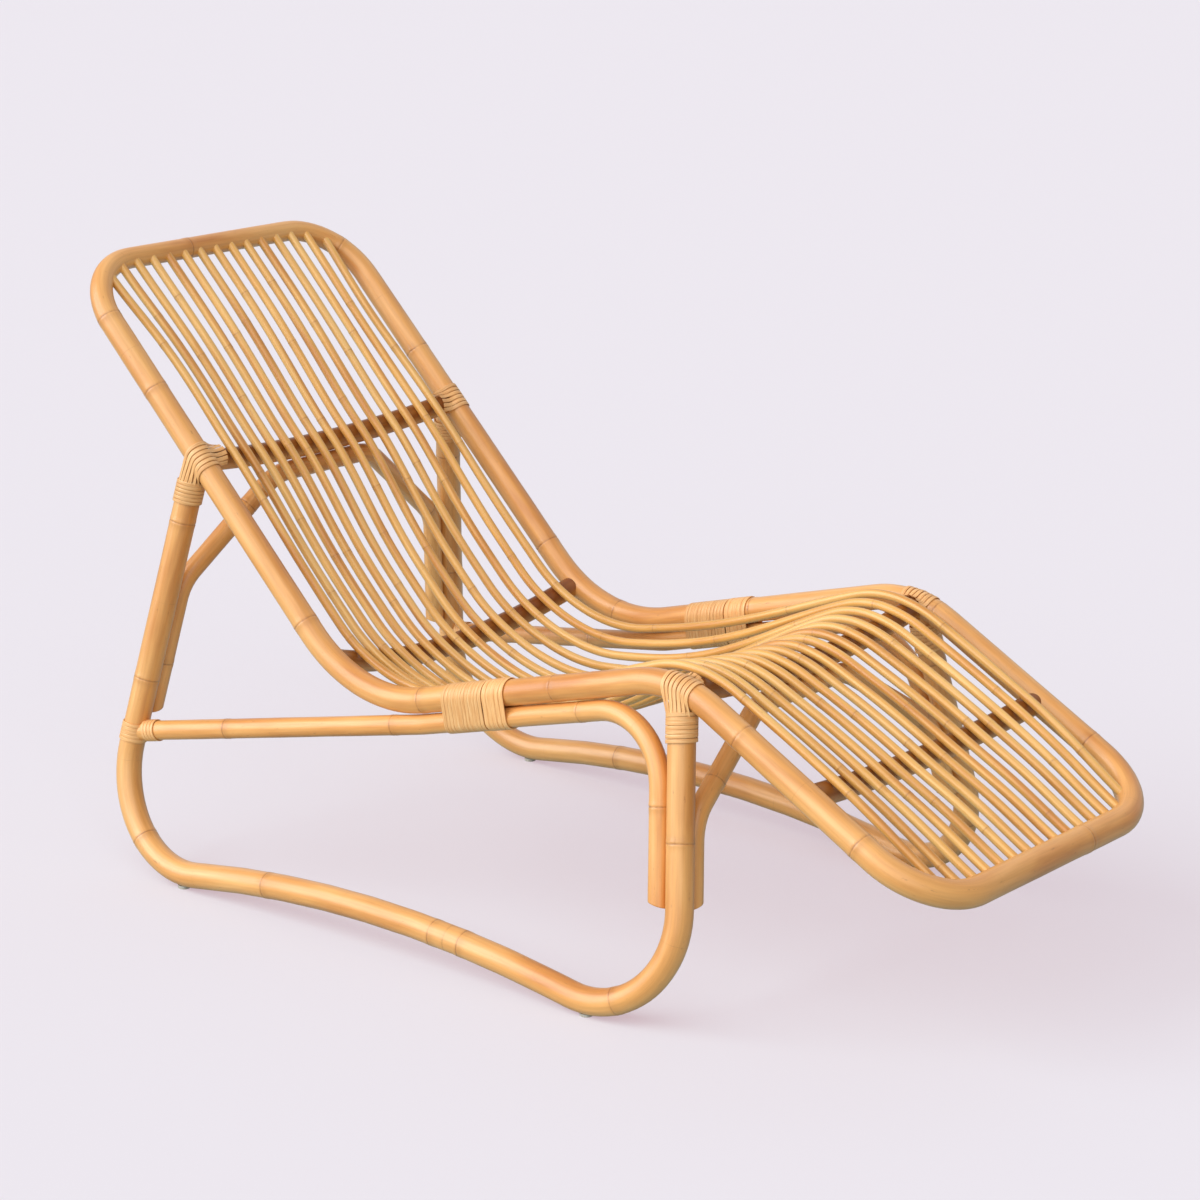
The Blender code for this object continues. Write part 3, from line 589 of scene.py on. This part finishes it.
def opened(name, sizes):
    """A geometry tree with these sizes as inputs: the tree, its inputs and the guide as a curve."""
    group = bpy.data.node_groups.new(name, "GeometryNodeTree")
    face = group.interface
    face.new_socket("Geometry", in_out="INPUT", socket_type="NodeSocketGeometry")
    for label, value in sizes.items():
        kind = "NodeSocketInt" if isinstance(value, int) else "NodeSocketFloat"
        face.new_socket(label, in_out="INPUT", socket_type=kind).default_value = value
    face.new_socket("Material", in_out="INPUT", socket_type="NodeSocketMaterial")
    face.new_socket("Geometry", in_out="OUTPUT", socket_type="NodeSocketGeometry")
    group.is_modifier = True
    tree = Tree(group)
    inputs = tree.add("NodeGroupInput").outputs
    line = tree.add("GeometryNodeMeshToCurve", {"Mesh": inputs["Geometry"]}).outputs[0]
    return tree, inputs, line


def swept(tree, line, section):
    """The section, with its own places kept as `rim`, carried along the line."""
    place = tree.add("GeometryNodeInputPosition").outputs[0]
    rim = tree.store(section, "rim", place, "FLOAT_VECTOR")
    inputs = {"Curve": line, "Profile Curve": rim, "Scale": tree.named("thick"), "Fill Caps": True}
    return tree.add("GeometryNodeCurveToMesh", inputs).outputs[0]


def closed_off(tree, geometry, inputs):
    """The finished tree, which gives a smooth whole mesh with its material."""
    smooth = tree.add("GeometryNodeSetShadeSmooth", {"Geometry": geometry}).outputs[0]
    whole = tree.add("GeometryNodeRealizeInstances", {"Geometry": smooth}).outputs[0]
    cover = {"Geometry": whole, "Material": inputs["Material"]}
    tree.add("NodeGroupOutput", {0: tree.add("GeometryNodeSetMaterial", cover).outputs[0]})
    return tree.tree


def bent_cane_tree():
    """Sweeps a round section along a guide and raises its growth rings."""
    tree, inputs, line = opened("Bent cane", {"Sides": POLE_SIDES, **POLE_RELIEF})
    circle = {"Resolution": inputs["Sides"], "Radius": 1.0}
    ring = tree.add("GeometryNodeCurvePrimitiveCircle", circle).outputs[0]
    tube = swept(tree, line, ring)
    run = tree.maths("MULTIPLY", tree.named("along"), 8.0)
    around = tree.lifted(tree.named("rim", "FLOAT_VECTOR"), run)
    wander = tree.maths("SUBTRACT", tree.noise(around, scale=0.8, detail=1.0), 0.5)
    wander = tree.maths("MULTIPLY", wander, inputs["Ring Wander"])
    knot = tree.maths("ADD", tree.named("knot"), wander)
    raised = tree.maths("MULTIPLY", tree.bell(knot, inputs["Ring Width"]), inputs["Ring Height"])
    groove = tree.bell(knot, inputs["Groove Width"])
    sunk = tree.maths("MULTIPLY", groove, inputs["Groove Depth"])
    place = tree.add("GeometryNodeInputPosition").outputs[0]
    lumps = tree.maths("SUBTRACT", tree.noise(place, scale=14.0, detail=1.0), 0.5)
    lumps = tree.maths("MULTIPLY", lumps, inputs["Unevenness"])
    rise = tree.maths("ADD", tree.maths("SUBTRACT", raised, sunk), lumps)
    move = tree.scaled(tree.add("GeometryNodeInputNormal").outputs[0], rise)
    shaped = tree.add("GeometryNodeSetPosition", {"Geometry": tube, "Offset": move}).outputs[0]
    return closed_off(tree, tree.store(shaped, "ring", knot), inputs)


def peel_strip_tree():
    """Sweeps a flat strip with rounded edges along a guide, flat side to the pole."""
    sizes = {"Width": STRIP_WIDTH, "Thickness": STRIP_THICKNESS}
    tree, inputs, line = opened("Peel strip", sizes)
    facing = {"Curve": line, "Normal": tree.named("out", "FLOAT_VECTOR")}
    flat = tree.add("GeometryNodeSetCurveNormal", facing, mode="FREE").outputs[0]
    box = {0: inputs["Thickness"], 1: inputs["Width"]}
    section = tree.add("GeometryNodeCurvePrimitiveQuadrilateral", box, mode="RECTANGLE")
    rounding = {
        "Curve": section.outputs[0],
        "Radius": tree.maths("MULTIPLY", inputs["Thickness"], STRIP_ROUNDING),
        "Count": STRIP_ROUND_STEPS,
        "Limit Radius": True,
    }
    rounded = tree.add("GeometryNodeFilletCurve", rounding, mode="POLY").outputs[0]
    return closed_off(tree, swept(tree, flat, rounded), inputs)


def linked(name, data):
    """A new object in the scene."""
    item = bpy.data.objects.new(name, data)
    bpy.context.collection.objects.link(item)
    return item


def guide(name, points, values, closed=False):
    """A line of edges that carries these values at its points."""
    mesh = bpy.data.meshes.new(name)
    count = len(points)
    edges = [(index, index + 1) for index in range(count - 1)]
    if closed:
        edges.append((count - 1, 0))
    mesh.from_pydata([tuple(point) for point in points], edges, [])
    for label, numbers in values.items():
        numbers = np.asarray(numbers, np.float32)
        if numbers.ndim == 2:
            layer = mesh.attributes.new(label, "FLOAT_VECTOR", "POINT")
            layer.data.foreach_set("vector", numbers.ravel())
        else:
            layer = mesh.attributes.new(label, "FLOAT", "POINT")
            layer.data.foreach_set("value", numbers)
    return linked(name, mesh)


def grown(name, line, group, sizes, material):
    """The plain mesh that the tree makes from the guide, as a new piece."""
    modifier = line.modifiers.new("tree", "NODES")
    modifier.node_group = group
    sockets = group.interface.items_tree
    labels = {item.name: item.identifier for item in sockets if item.in_out == "INPUT"}
    for label, value in {**sizes, "Material": material}.items():
        modifier[labels[label]] = value
    graph = bpy.context.evaluated_depsgraph_get()
    settled = line.evaluated_get(graph)
    mesh = bpy.data.meshes.new_from_object(settled, preserve_all_data_layers=True, depsgraph=graph)
    mesh.name = name
    old = line.data
    bpy.data.objects.remove(line, do_unlink=True)
    bpy.data.meshes.remove(old)
    return linked(name, mesh)


def joined(name, pieces):
    """Several pieces with the same attributes as one mesh."""
    shape = bmesh.new()
    for piece in pieces:
        shape.from_mesh(piece.data)
    first = pieces[0]
    shape.to_mesh(first.data)
    shape.free()
    for piece in pieces[1:]:
        mesh = piece.data
        bpy.data.objects.remove(piece, do_unlink=True)
        bpy.data.meshes.remove(mesh)
    first.name = name
    first.data.name = name
    return first


def place_piece(piece, node):
    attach(piece, "root")
    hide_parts(node)


# Finishes


def srgb(red, green, blue):
    """A colour in 0-255 steps, in linear light."""
    steps = [value / 255 for value in (red, green, blue)]
    return tuple(v / 12.92 if v <= 0.04045 else ((v + 0.055) / 1.055) ** 2.4 for v in steps) + (1.0,)


def ramp(tree, value, places, colours):
    node = tree.add("ShaderNodeValToRGB", {0: value})
    elements = node.color_ramp.elements
    stops = list(zip(places, colours))
    elements[0].position, elements[0].color = stops[0]
    elements[1].position, elements[1].color = stops[-1]
    for position, colour in stops[1:-1]:
        elements.new(position).color = colour
    return node.outputs[0]


def blended(tree, share, first, second, mode="MIX"):
    inputs = {0: share, 6: first, 7: second}
    return tree.add("ShaderNodeMix", inputs, data_type="RGBA", blend_type=mode).outputs[2]


def attribute(tree, name, output):
    return tree.add("ShaderNodeAttribute", attribute_name=name).outputs[output]


def new_finish(name):
    """A material, its tree and its shader."""
    material = bpy.data.materials.new(name)
    material.use_nodes = True
    nodes = material.node_tree.nodes
    return material, Tree(material.node_tree), nodes["Principled BSDF"]


def toned(tree, base, low, high):
    """The colour made darker or lighter as the piece's own tone says."""
    shade = tree.span(attribute(tree, "tone", "Fac"), 0.0, 1.0, low, high)
    grey = tree.add("ShaderNodeCombineColor", {0: shade, 1: shade, 2: shade}).outputs[0]
    return blended(tree, 1.0, base, grey, "MULTIPLY")


def cover(tree, shader, base, relief, strength, depth, **values):
    """Joins the colour, a fine relief and the shader's other values."""
    height = {"Strength": strength, "Distance": depth, "Height": relief}
    bump = tree.add("ShaderNodeBump", height).outputs[0]
    for label, value in {"Base Color": base, "Normal": bump, **values}.items():
        tree.join(value, shader.inputs[label.replace("_", " ")])


def cane_finish(name, colours, streak_scale, coat, ring_strength, painted_shade=None):
    """Varnished cane: long fibres, cloudy tone, dark growth rings and scattered flecks.

    The last argument tints the side that faces the deck darker: painted shade, where the canes above
    shade it.
    """
    material, tree, shader = new_finish(name)
    *tones, ring_colour = (srgb(*colour) for colour in colours)
    rim = attribute(tree, "rim", "Vector")
    along = attribute(tree, "along", "Fac")
    knot = attribute(tree, "ring", "Fac")

    def spread(length_scale, shift):
        """Places round the cane and along it, for a pattern of its own."""
        return tree.lifted(rim, tree.maths("ADD", tree.maths("MULTIPLY", along, length_scale), shift))

    fibres = tree.noise(spread(2.6, 0.0), scale=streak_scale, detail=5.0, roughness=0.62)
    clouds = tree.noise(spread(9.0, 7.3), scale=0.55, detail=3.0)
    base = ramp(tree, clouds, (0.30, 0.48, 0.70), tones)
    grain = ramp(tree, fibres, (0.32, 0.62), (GRAIN_TINT, WHITE))
    base = toned(tree, blended(tree, 0.75, base, grain, "MULTIPLY"), 0.90, 1.08)
    flecks = tree.noise(spread(14.0, 3.1), scale=3.2, detail=3.0, roughness=0.7)
    base = blended(tree, tree.span(flecks, 0.66, 0.76, high=0.55), base, ring_colour)

    patches = tree.noise(spread(3.0, 11.0), scale=1.6, detail=2.0)
    offset, width, strength = RING_SMEAR
    smear = tree.bell(tree.maths("SUBTRACT", knot, offset), width)
    ring = tree.maths("ADD", tree.bell(knot, RING_LINE), tree.maths("MULTIPLY", smear, strength))
    ring = tree.maths("MULTIPLY", ring, tree.span(patches, 0.35, 0.62, low=0.25))
    ring = tree.maths("MULTIPLY", tree.maths("MINIMUM", ring, 1.0), ring_strength)
    base = blended(tree, ring, base, ring_colour)
    # Painted shade: the side that faces the deck, under the canes, is darkened by the way its normal
    # points
    if painted_shade:
        sides = {0: tree.add("ShaderNodeNewGeometry").outputs["Normal"], 1: DECK_OUTWARD}
        facing = tree.add("ShaderNodeVectorMath", sides, operation="DOT_PRODUCT").outputs["Value"]
        base = blended(tree, tree.span(facing, -0.15, 0.55), base, painted_shade, "MULTIPLY")

    fine = tree.noise(spread(3.4, 1.7), scale=streak_scale * 3, detail=3.0)
    rough = tree.span(fibres, 0.3, 0.7, 0.55, 0.42)
    cover(
        tree, shader, base, fine, 0.10, 0.0006,
        Roughness=rough, Coat_Weight=coat, Coat_Roughness=0.30, IOR=1.5,
    )
    return material


def peel_finish():
    """Split peel: pale outer skin with fine lengthwise fibres."""
    material, tree, shader = new_finish("rattan_peel_strip")
    wide = tree.scaled(attribute(tree, "rim", "Vector"), 700.0)
    run = tree.maths("MULTIPLY", attribute(tree, "along", "Fac"), 25.0)
    fibres = tree.noise(tree.lifted(wide, run), scale=1.6, detail=4.0)
    base = ramp(tree, fibres, (0.30, 0.50, 0.68), [srgb(*colour) for colour in PEEL_COLOURS])
    base = toned(tree, base, 0.84, 1.06)
    rough = tree.span(fibres, 0.3, 0.7, 0.48, 0.34)
    cover(
        tree, shader, base, fibres, 0.18, 0.0004,
        Roughness=rough, Coat_Weight=0.15, Coat_Roughness=0.28,
    )
    return material


def glide_finish():
    """Moulded plastic feet with a faint moulded texture and scuffs."""
    material, tree, shader = new_finish("glide_moulded_plastic")
    place = tree.add("ShaderNodeTexCoord").outputs["Object"]
    grain = tree.noise(place, scale=900.0, detail=2.0)
    scuffs = tree.noise(place, scale=160.0, detail=4.0)
    base = ramp(tree, scuffs, (0.35, 0.65), [srgb(*colour) for colour in GLIDE_COLOURS])
    cover(tree, shader, base, grain, 0.2, 0.0002, Roughness=0.55)
    return material


# Poles and canes


def ring_places(line, spacing):
    """Growth rings along the line, at the uneven spacing of a grown cane."""
    length = measured(line)[-1]
    places = []
    place = CHANCE.uniform(0.3, 1.0) * spacing
    while place < length - RING_END_ROOM:
        places.append(place)
        place += spacing * CHANCE.uniform(0.75, 1.25)
    return places


def pole_stations(length, rings, rounded):
    """Distances for the sweep: even steps, close ones over each growth ring and rounded end."""
    marks = [np.arange(0.0, length, POLE_STEP), [length]]
    for place in rings:
        marks.append(np.arange(place - RING_REACH, place + RING_REACH, RING_STEP))
    stations = np.unique(np.clip(np.concatenate(marks), 0.0, length))
    keep = np.diff(stations, prepend=-1.0) > RING_LEAST_STEP
    keep[-1] = True
    stations = stations[keep]
    if rounded:
        close = np.linspace(0.0, END_REACH, END_STATIONS)
        stations = np.unique(np.concatenate([stations, close, length - close]))
        stations = stations[np.diff(stations, prepend=-1.0) > END_LEAST_STEP]
    return stations


def domed(stations, radii, start, end):
    """Radii that round off the ends over `start` and `end` metres."""
    for reach, distance in ((start, stations), (end, stations[-1] - stations)):
        if reach:
            share = np.clip(distance / reach, 0.0, 1.0)
            radii = radii * np.sqrt(1 - (1 - share) ** 2 * END_CLOSING)
    return radii


def slant(piece, tip, along, across, amount):
    """Cuts the end of a pole aslant: the side towards `across` reaches further by `amount`."""
    mesh = piece.data
    places = np.empty(len(mesh.vertices) * 3, np.float32)
    mesh.vertices.foreach_get("co", places)
    places = places.reshape(-1, 3)
    offset = places - tip
    near = np.linalg.norm(offset, axis=1) < SLANT_NEAR
    share = np.clip(1 + (offset @ along) / SLANT_REACH, 0, 1) * near
    places += (share * (offset @ across) * amount)[:, None] * along
    mesh.vertices.foreach_set("co", places.ravel())
    mesh.update()


def make_pole(
    name, node, line, radius, rings, finish,
    sides=POLE_SIDES, closed=False, ends=POLE_ENDS, relief=None, slants=(),
):
    """One smooth pole along the line with its growth rings, as the piece for this node."""
    stations = pole_stations(measured(line)[-1], rings, not closed and any(ends))
    points = at(line, stations)
    radii = radius(points[:, 0]) if callable(radius) else np.full(len(points), radius)
    radii = radii - RING_ROOM
    if not closed:
        radii = domed(stations, radii, *ends)
    # A ring before the start stands in where there is none
    gaps = stations[:, None] - np.array([*rings, -1.0])
    knot = gaps[np.arange(len(stations)), np.abs(gaps).argmin(1)]
    if closed:
        points, stations, radii, knot = points[:-1], stations[:-1], radii[:-1], knot[:-1]
    values = {
        "thick": radii,
        "along": stations + CHANCE.uniform(0, 20),
        "knot": knot,
        "tone": np.full(len(points), CHANCE.uniform(0.2, 0.8)),
    }
    guide_line = guide(name + "_guide", points, values, closed)
    piece = grown(name, guide_line, CANE_TREE, {"Sides": sides, **(relief or {})}, finish)
    for last, across, amount in slants:
        tip, inner = (line[-1], line[-4]) if last else (line[0], line[3])
        slant(piece, tip, unit(tip - inner), np.array(across), amount)
    place_piece(piece, node)


# Windings


def round_outline(radius):
    """Offset and normal, sideways and up, once round a pole."""
    angles = np.linspace(0, 2 * math.pi, POLE_OUTLINE_POINTS + 1)[:-1]
    normals = np.stack([np.cos(angles), np.sin(angles)], axis=1)
    return normals * radius, normals


def twin_outline(upper, lower, apart):
    """Once round two poles that touch: the second lies `apart` below the first."""
    lean = math.asin((upper - lower) / apart)
    top, low = TWIN_OUTLINE_POINTS
    arcs = []
    for start, end, count, radius, drop in (
        (-lean, math.pi + lean, top, upper, 0.0),
        (math.pi + lean, 2 * math.pi - lean, low, lower, apart),
    ):
        angles = np.linspace(start, end, count)
        normals = np.stack([np.cos(angles), np.sin(angles)], axis=1)
        arcs.append((normals * radius - (0.0, drop), normals))
    rows = []
    facing = []
    for (offsets, normals), (following, _) in zip(arcs, arcs[::-1]):
        rows.extend(offsets)
        facing.extend(normals)
        for share in (0.25, 0.5, 0.75):
            rows.append(offsets[-1] + (following[0] - offsets[-1]) * share)
            facing.append(normals[-1])
    return np.array(rows), np.array(facing)


def strip(name, points, outs, thick, tone, width, thickness=STRIP_THICKNESS):
    """One strip of peel along the points; `tone` is a value, or the range that it is drawn from."""
    values = {
        "thick": thick,
        "along": measured(points) + CHANCE.uniform(0, 9),
        "tone": np.full(len(points), CHANCE.uniform(*tone) if isinstance(tone, tuple) else tone),
        "out": np.array(outs),
    }
    line = guide(name + "_guide", points, values)
    return grown(name, line, STRIP_TREE, {"Width": width, "Thickness": thickness}, peel)


def wound(
    name, line, start, loops, pitch, outline,
    lift=STRAND_LIFT, lean=0.0, thickness=STRIP_THICKNESS, tone=STRAND_TONES,
):
    """One strip wound round the line, its loops leaning forward by `lean` for each metre up."""
    offsets, normals = outline
    per_loop = len(offsets)
    total = loops * per_loop
    wobble = CHANCE.normal(0, 1, loops + 3)
    points = []
    outs = []
    for index in range(total + 1):
        turn = index / per_loop
        offset, normal = offsets[index % per_loop], normals[index % per_loop]
        sway = STRAND_SWAY * np.interp(turn, np.arange(len(wobble)), wobble)
        centre, _, across, up = frame_at(line, start + pitch * turn + lean * offset[1] + sway)
        out = across * normal[0] + up * normal[1]
        edge = min(index, total - index) / per_loop
        tuck = thickness * max(0.0, 1 - edge / STRAND_TUCK)
        height = lift + thickness / 2 - tuck
        points.append(centre + across * offset[0] + up * offset[1] + out * height)
        outs.append(out)
    points = np.array(points)
    return strip(name, points, outs, np.ones(len(points)), tone, pitch - STRAND_GAP, thickness)


def clear_of(point, cores):
    """Moves the point out of the cores onto their skins, and gives the way it faces there."""
    for _ in range(3):
        facing = np.zeros(3)
        for start, end, radius in cores:
            run = end - start
            share = np.clip((point - start) @ run / (run @ run), 0, 1)
            away = point - start - run * share
            distance = np.linalg.norm(away)
            facing += away / distance * math.exp(-abs(distance - radius) / FACING_FALL)
            if distance < radius:
                point = point + away / distance * (radius - distance)
    return point, unit(facing)


def lashing(name, label, sign, leg):
    """Strands side by side: from the rail over the seat pole, down its outer side onto the leg."""
    rail, strands, fan, spread, tail = LASHINGS[label]
    middle = RAILS[rail][0]
    profile = side_profile(sign * SEAT_HALF_WIDTH)
    rail_up = frame_at(side_profile(0.0), middle)[3]
    outward = np.array([0.0, float(sign), 0.0])
    centre, along, _, _ = frame_at(profile, middle)
    pole_skin, leg_skin, rail_skin = (d / 2 + LASHING_SKIN for d in (POLE_D, LEG_D, RAIL_D))
    cores = [
        (at(profile, start), at(profile, start + CORE_STEP), pole_skin)
        for start in middle - CORE_REACH + np.arange(0.0, 2 * CORE_REACH, CORE_STEP)
    ]
    cores.append((leg[0], leg[1], leg_skin))
    near_drop, reach, far_drop = RAIL_CORE
    rail_end = centre - rail_up * near_drop
    cores.append((rail_end, centre - outward * reach - rail_up * far_drop, rail_skin))
    down = unit(leg[1] - leg[0])
    front = unit(np.array([1.0, 0.0, 0.0]) - down * down[0])
    side = np.cross(front, down)
    side *= math.copysign(1.0, side @ outward)
    pieces = []
    for index in range(strands):
        share = index / (strands - 1)
        spot, _, _, up = frame_at(profile, middle + fan * (share - 0.5))
        turn = LASHING_RAIL_TURN * (share - 0.5)
        on_rail = rail_skin * (up * math.cos(turn) + along * math.sin(turn))
        around = spread[0] + (spread[1] - spread[0]) * share
        on_leg = leg_skin * (side * math.cos(around) + front * math.sin(around))
        over = [
            spot + pole_skin * (up * math.sin(angle) - outward * math.cos(angle))
            for angle in LASHING_ANGLES
        ]
        rest = leg[0] + down * LASHING_DROP + on_leg
        onward = [over[-1] + (rest - over[-1]) * part for part in LASHING_WAY_DOWN]
        path = np.array([centre - outward * tail + on_rail, *over, *onward])
        path = at(path, np.linspace(0, measured(path)[-1], LASHING_POINTS))
        # Drawn tight, then laid on the poles again
        for _ in range(LASHING_DRAWS):
            path[1:-1] = (path[:-2] + 2 * path[1:-1] + path[2:]) / 4
            path = np.array([clear_of(point, cores)[0] for point in path])
        faces = np.array([clear_of(point, cores)[1] for point in path])
        for _ in range(FACING_DRAWS):
            faces[1:-1] = faces[:-2] + faces[1:-1] + faces[2:]
            faces /= np.linalg.norm(faces, axis=1)[:, None]
        thick = np.linspace(*LASHING_SWELL, len(path))
        pieces.append(strip(f"{name}_{index}", path, faces, thick, LASHING_TONES, LASHING_WIDTH))
    return pieces


# Dressing


CANE_TREE = bent_cane_tree()
STRIP_TREE = peel_strip_tree()
pole_finish = cane_finish("rattan_pole_varnished", POLE_COLOURS, 3.2, 0.85, 0.65)
# The rails' finish paints shade on their side under the deck
rail_finish = cane_finish("rattan_rail_varnished_painted_shade", RAIL_COLOURS, 3.2, 0.45, 0.60, RAIL_PAINTED_SHADE)
thin_cane_finish = cane_finish("rattan_cane_varnished", CANE_COLOURS, 2.4, 0.85, 0.45)
peel = peel_finish()


def dress_poles():
    make_pole(
        "seat_pole", "seat_frame", seat_loop(), pole_radius, SEAT_RINGS, pole_finish,
        sides=SEAT_POLE_SIDES, closed=True,
    )
    for side, sign in SIDES.items():
        near = sign < 0
        line = side_frame_line(sign)
        # The rear leg reaches on, up inside its lashing
        line = np.vstack([[line[0] + unit(line[0] - line[1]) * REAR_LEG_TOP_REACH], line])
        rings = NEAR_LEG_RINGS if near else ring_places(line, LEG_RING_SPACING)
        make_pole(
            f"leg_pole_{side}", f"leg_frame_{side}", line, LEG_D / 2, rings, pole_finish,
            ends=LEG_ENDS,
        )
        line = brace_line(sign)
        rings = NEAR_BRACE_RINGS if near else ring_places(line, RING_SPACING)
        make_pole(
            f"side_brace_pole_{side}", f"side_brace_{side}", line, BRACE_D / 2, rings, pole_finish,
            ends=BRACE_ENDS, slants=[(True, (-1.0, 0.0, 0.0), BRACE_SLANT)],
        )
    for place, front in (("rear", False), ("front", True)):
        line = arch_line(front)
        rings = ring_places(line, RING_SPACING)
        slants = [(False, (0.0, 1.0, 0.0), ARCH_SLANT), (True, (0.0, -1.0, 0.0), ARCH_SLANT)]
        make_pole(
            f"{place}_arch_pole", f"{place}_arch_brace", line, ARCH_D / 2, rings, pole_finish,
            ends=ARCH_ENDS, slants=slants,
        )
    for name in RAILS:
        line = rail_line(name)
        rings = ring_places(line, RAIL_RING_SPACING)
        pole_name = name.replace("cross_rail", "rail_pole")
        make_pole(pole_name, name, line, RAIL_D / 2, rings, rail_finish)


def dress_canes():
    loop = seat_loop()
    for index in range(CANE_COUNT):
        line = cane_line(index, loop)
        rings = ring_places(line, RING_SPACING)
        number = f"{index + 1:02d}"
        make_pole(
            f"deck_cane_{number}", f"slat_{number}", line, CANE_D / 2 + RING_ROOM, rings,
            thin_cane_finish, CANE_SIDES, ends=OPEN_ENDS, relief=CANE_RELIEF,
        )


def dress_windings():
    around_leg = round_outline(LEG_D / 2)
    around_brace = round_outline(BRACE_D / 2)
    around_both = twin_outline(POLE_D / 2, BRACE_D / 2, POLE_D / 2 + BRACE_D / 2 + TOUCH)
    for side, sign in SIDES.items():
        rear_top, rear_foot, _, front_foot, front_top = side_frame_corners(sign)
        rear_leg = np.array([rear_top, rear_foot])
        front_leg = np.array([front_top, front_foot])

        def lay(label, line, turns, outline, **more):
            return wound(f"winding_{label}_{side}", line, *turns, outline, **more)

        def bind(label, strips):
            piece = joined(f"winding_{label}_{side}", strips)
            place_piece(piece, f"binding_{label}_{side}")

        for label, leg in (("upper_back", rear_leg), ("knee", front_leg)):
            bind(label, lashing(f"winding_{label}_{side}", label, sign, leg))
        for label, leg, turns in (
            ("rear_leg_top", rear_leg, REAR_COLLAR),
            ("front_leg_top", front_leg, FRONT_COLLAR),
        ):
            bind(label, [lay(label, leg, turns, around_leg, lift=COLLAR_LIFT)])
        before, loops, pitch = REAR_LEG_WRAP
        share = (rear_top[2] - BRACE_REAR_HEIGHT) / (rear_top[2] - rear_foot[2])
        start = measured(rear_leg)[-1] * share + before
        bind("rear_leg", [lay("rear_leg", rear_leg, (start, loops, pitch), around_leg)])
        bind("brace_end", [lay("brace_end", brace_line(sign), BRACE_END_WRAP, around_brace)])

        profile = side_profile(sign * SEAT_HALF_WIDTH)
        turns = (SEAT_WINDING_START, SEAT_STRAND_LOOPS, SEAT_STRAND_PITCH)
        strands = lay("seat_brace", profile, turns, around_both, lean=STRAND_LEAN)
        turns = (SEAT_BAND_START, SEAT_BAND_LOOPS, SEAT_BAND_PITCH)
        band = lay(
            "seat_brace_band", profile, turns, around_both,
            lean=STRAND_LEAN, thickness=SEAT_BAND_THICKNESS, tone=SEAT_BAND_TONE,
        )
        bind("seat_brace", [strands, band])


def paint_glides():
    finish = glide_finish()
    for name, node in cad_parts.items():
        if name.startswith("glide"):
            node.data.materials.clear()
            node.data.materials.append(finish)


# Studio


def add_floor():
    """A pale sheet with the chair's shadow; only the camera sees its glow."""
    mesh = bpy.data.meshes.new("studio_floor")
    half = FLOOR_HALF_WIDTH
    corners = [(-half, -half, 0), (half, -half, 0), (half, half, 0), (-half, half, 0)]
    mesh.from_pydata(corners, [], [(0, 1, 2, 3)])
    floor = linked("studio_floor", mesh)
    material = bpy.data.materials.new("studio_floor_paper")
    material.use_nodes = True
    tree = Tree(material.node_tree)
    material.node_tree.nodes.clear()
    matt = tree.add("ShaderNodeBsdfDiffuse", {"Color": FLOOR_COLOUR}).outputs[0]
    glow = tree.add("ShaderNodeEmission", {"Color": FLOOR_GLOW}).outputs[0]
    seen = tree.add("ShaderNodeLightPath").outputs["Is Camera Ray"]
    dark = tree.add("ShaderNodeEmission", {"Strength": 0.0}).outputs[0]
    lit = tree.add("ShaderNodeMixShader", {0: seen, 1: dark, 2: glow}).outputs[0]
    both = tree.add("ShaderNodeAddShader", {0: matt, 1: lit}).outputs[0]
    tree.add("ShaderNodeOutputMaterial", {"Surface": both})
    mesh.materials.append(material)


def light_studio():
    world = bpy.data.worlds.new("studio")
    bpy.context.scene.world = world
    world.use_nodes = True
    tree = Tree(world.node_tree)
    world.node_tree.nodes.clear()
    seen = tree.add("ShaderNodeLightPath").outputs["Is Camera Ray"]
    sky = {"Color": SKY_COLOUR, "Strength": SKY_LEVEL}
    soft = tree.add("ShaderNodeBackground", sky).outputs[0]
    back = tree.add("ShaderNodeBackground", {"Color": srgb(*BACKDROP)}).outputs[0]
    both = tree.add("ShaderNodeMixShader", {0: seen, 1: soft, 2: back}).outputs[0]
    tree.add("ShaderNodeOutputWorld", {"Surface": both})
    for name, level, spread, place in SOFT_LAMPS:
        data = bpy.data.lights.new(name, "SUN")
        data.energy = level
        data.angle = spread
        linked(name, data).rotation_euler = Vector(place).to_track_quat("Z", "Y").to_euler()


def add_camera():
    """The photograph's view: from the foot end's right, a little above the chair."""
    data = bpy.data.cameras.new("camera")
    data.sensor_width = 36.0
    data.lens = CAMERA_LENS
    data.clip_end = 100.0
    camera = linked("camera", data)
    bpy.context.scene.camera = camera
    level = math.cos(CAMERA_DOWN)
    look = (-math.sin(CAMERA_TURN) * level, math.cos(CAMERA_TURN) * level, -math.sin(CAMERA_DOWN))
    camera.location = CAMERA_PLACE
    camera.rotation_euler = Vector(look).to_track_quat("-Z", "Y").to_euler()


add_camera()
light_studio()
add_floor()
dress_poles()
dress_canes()
dress_windings()
paint_glides()

bpy.context.scene.view_settings.view_transform = "Standard"
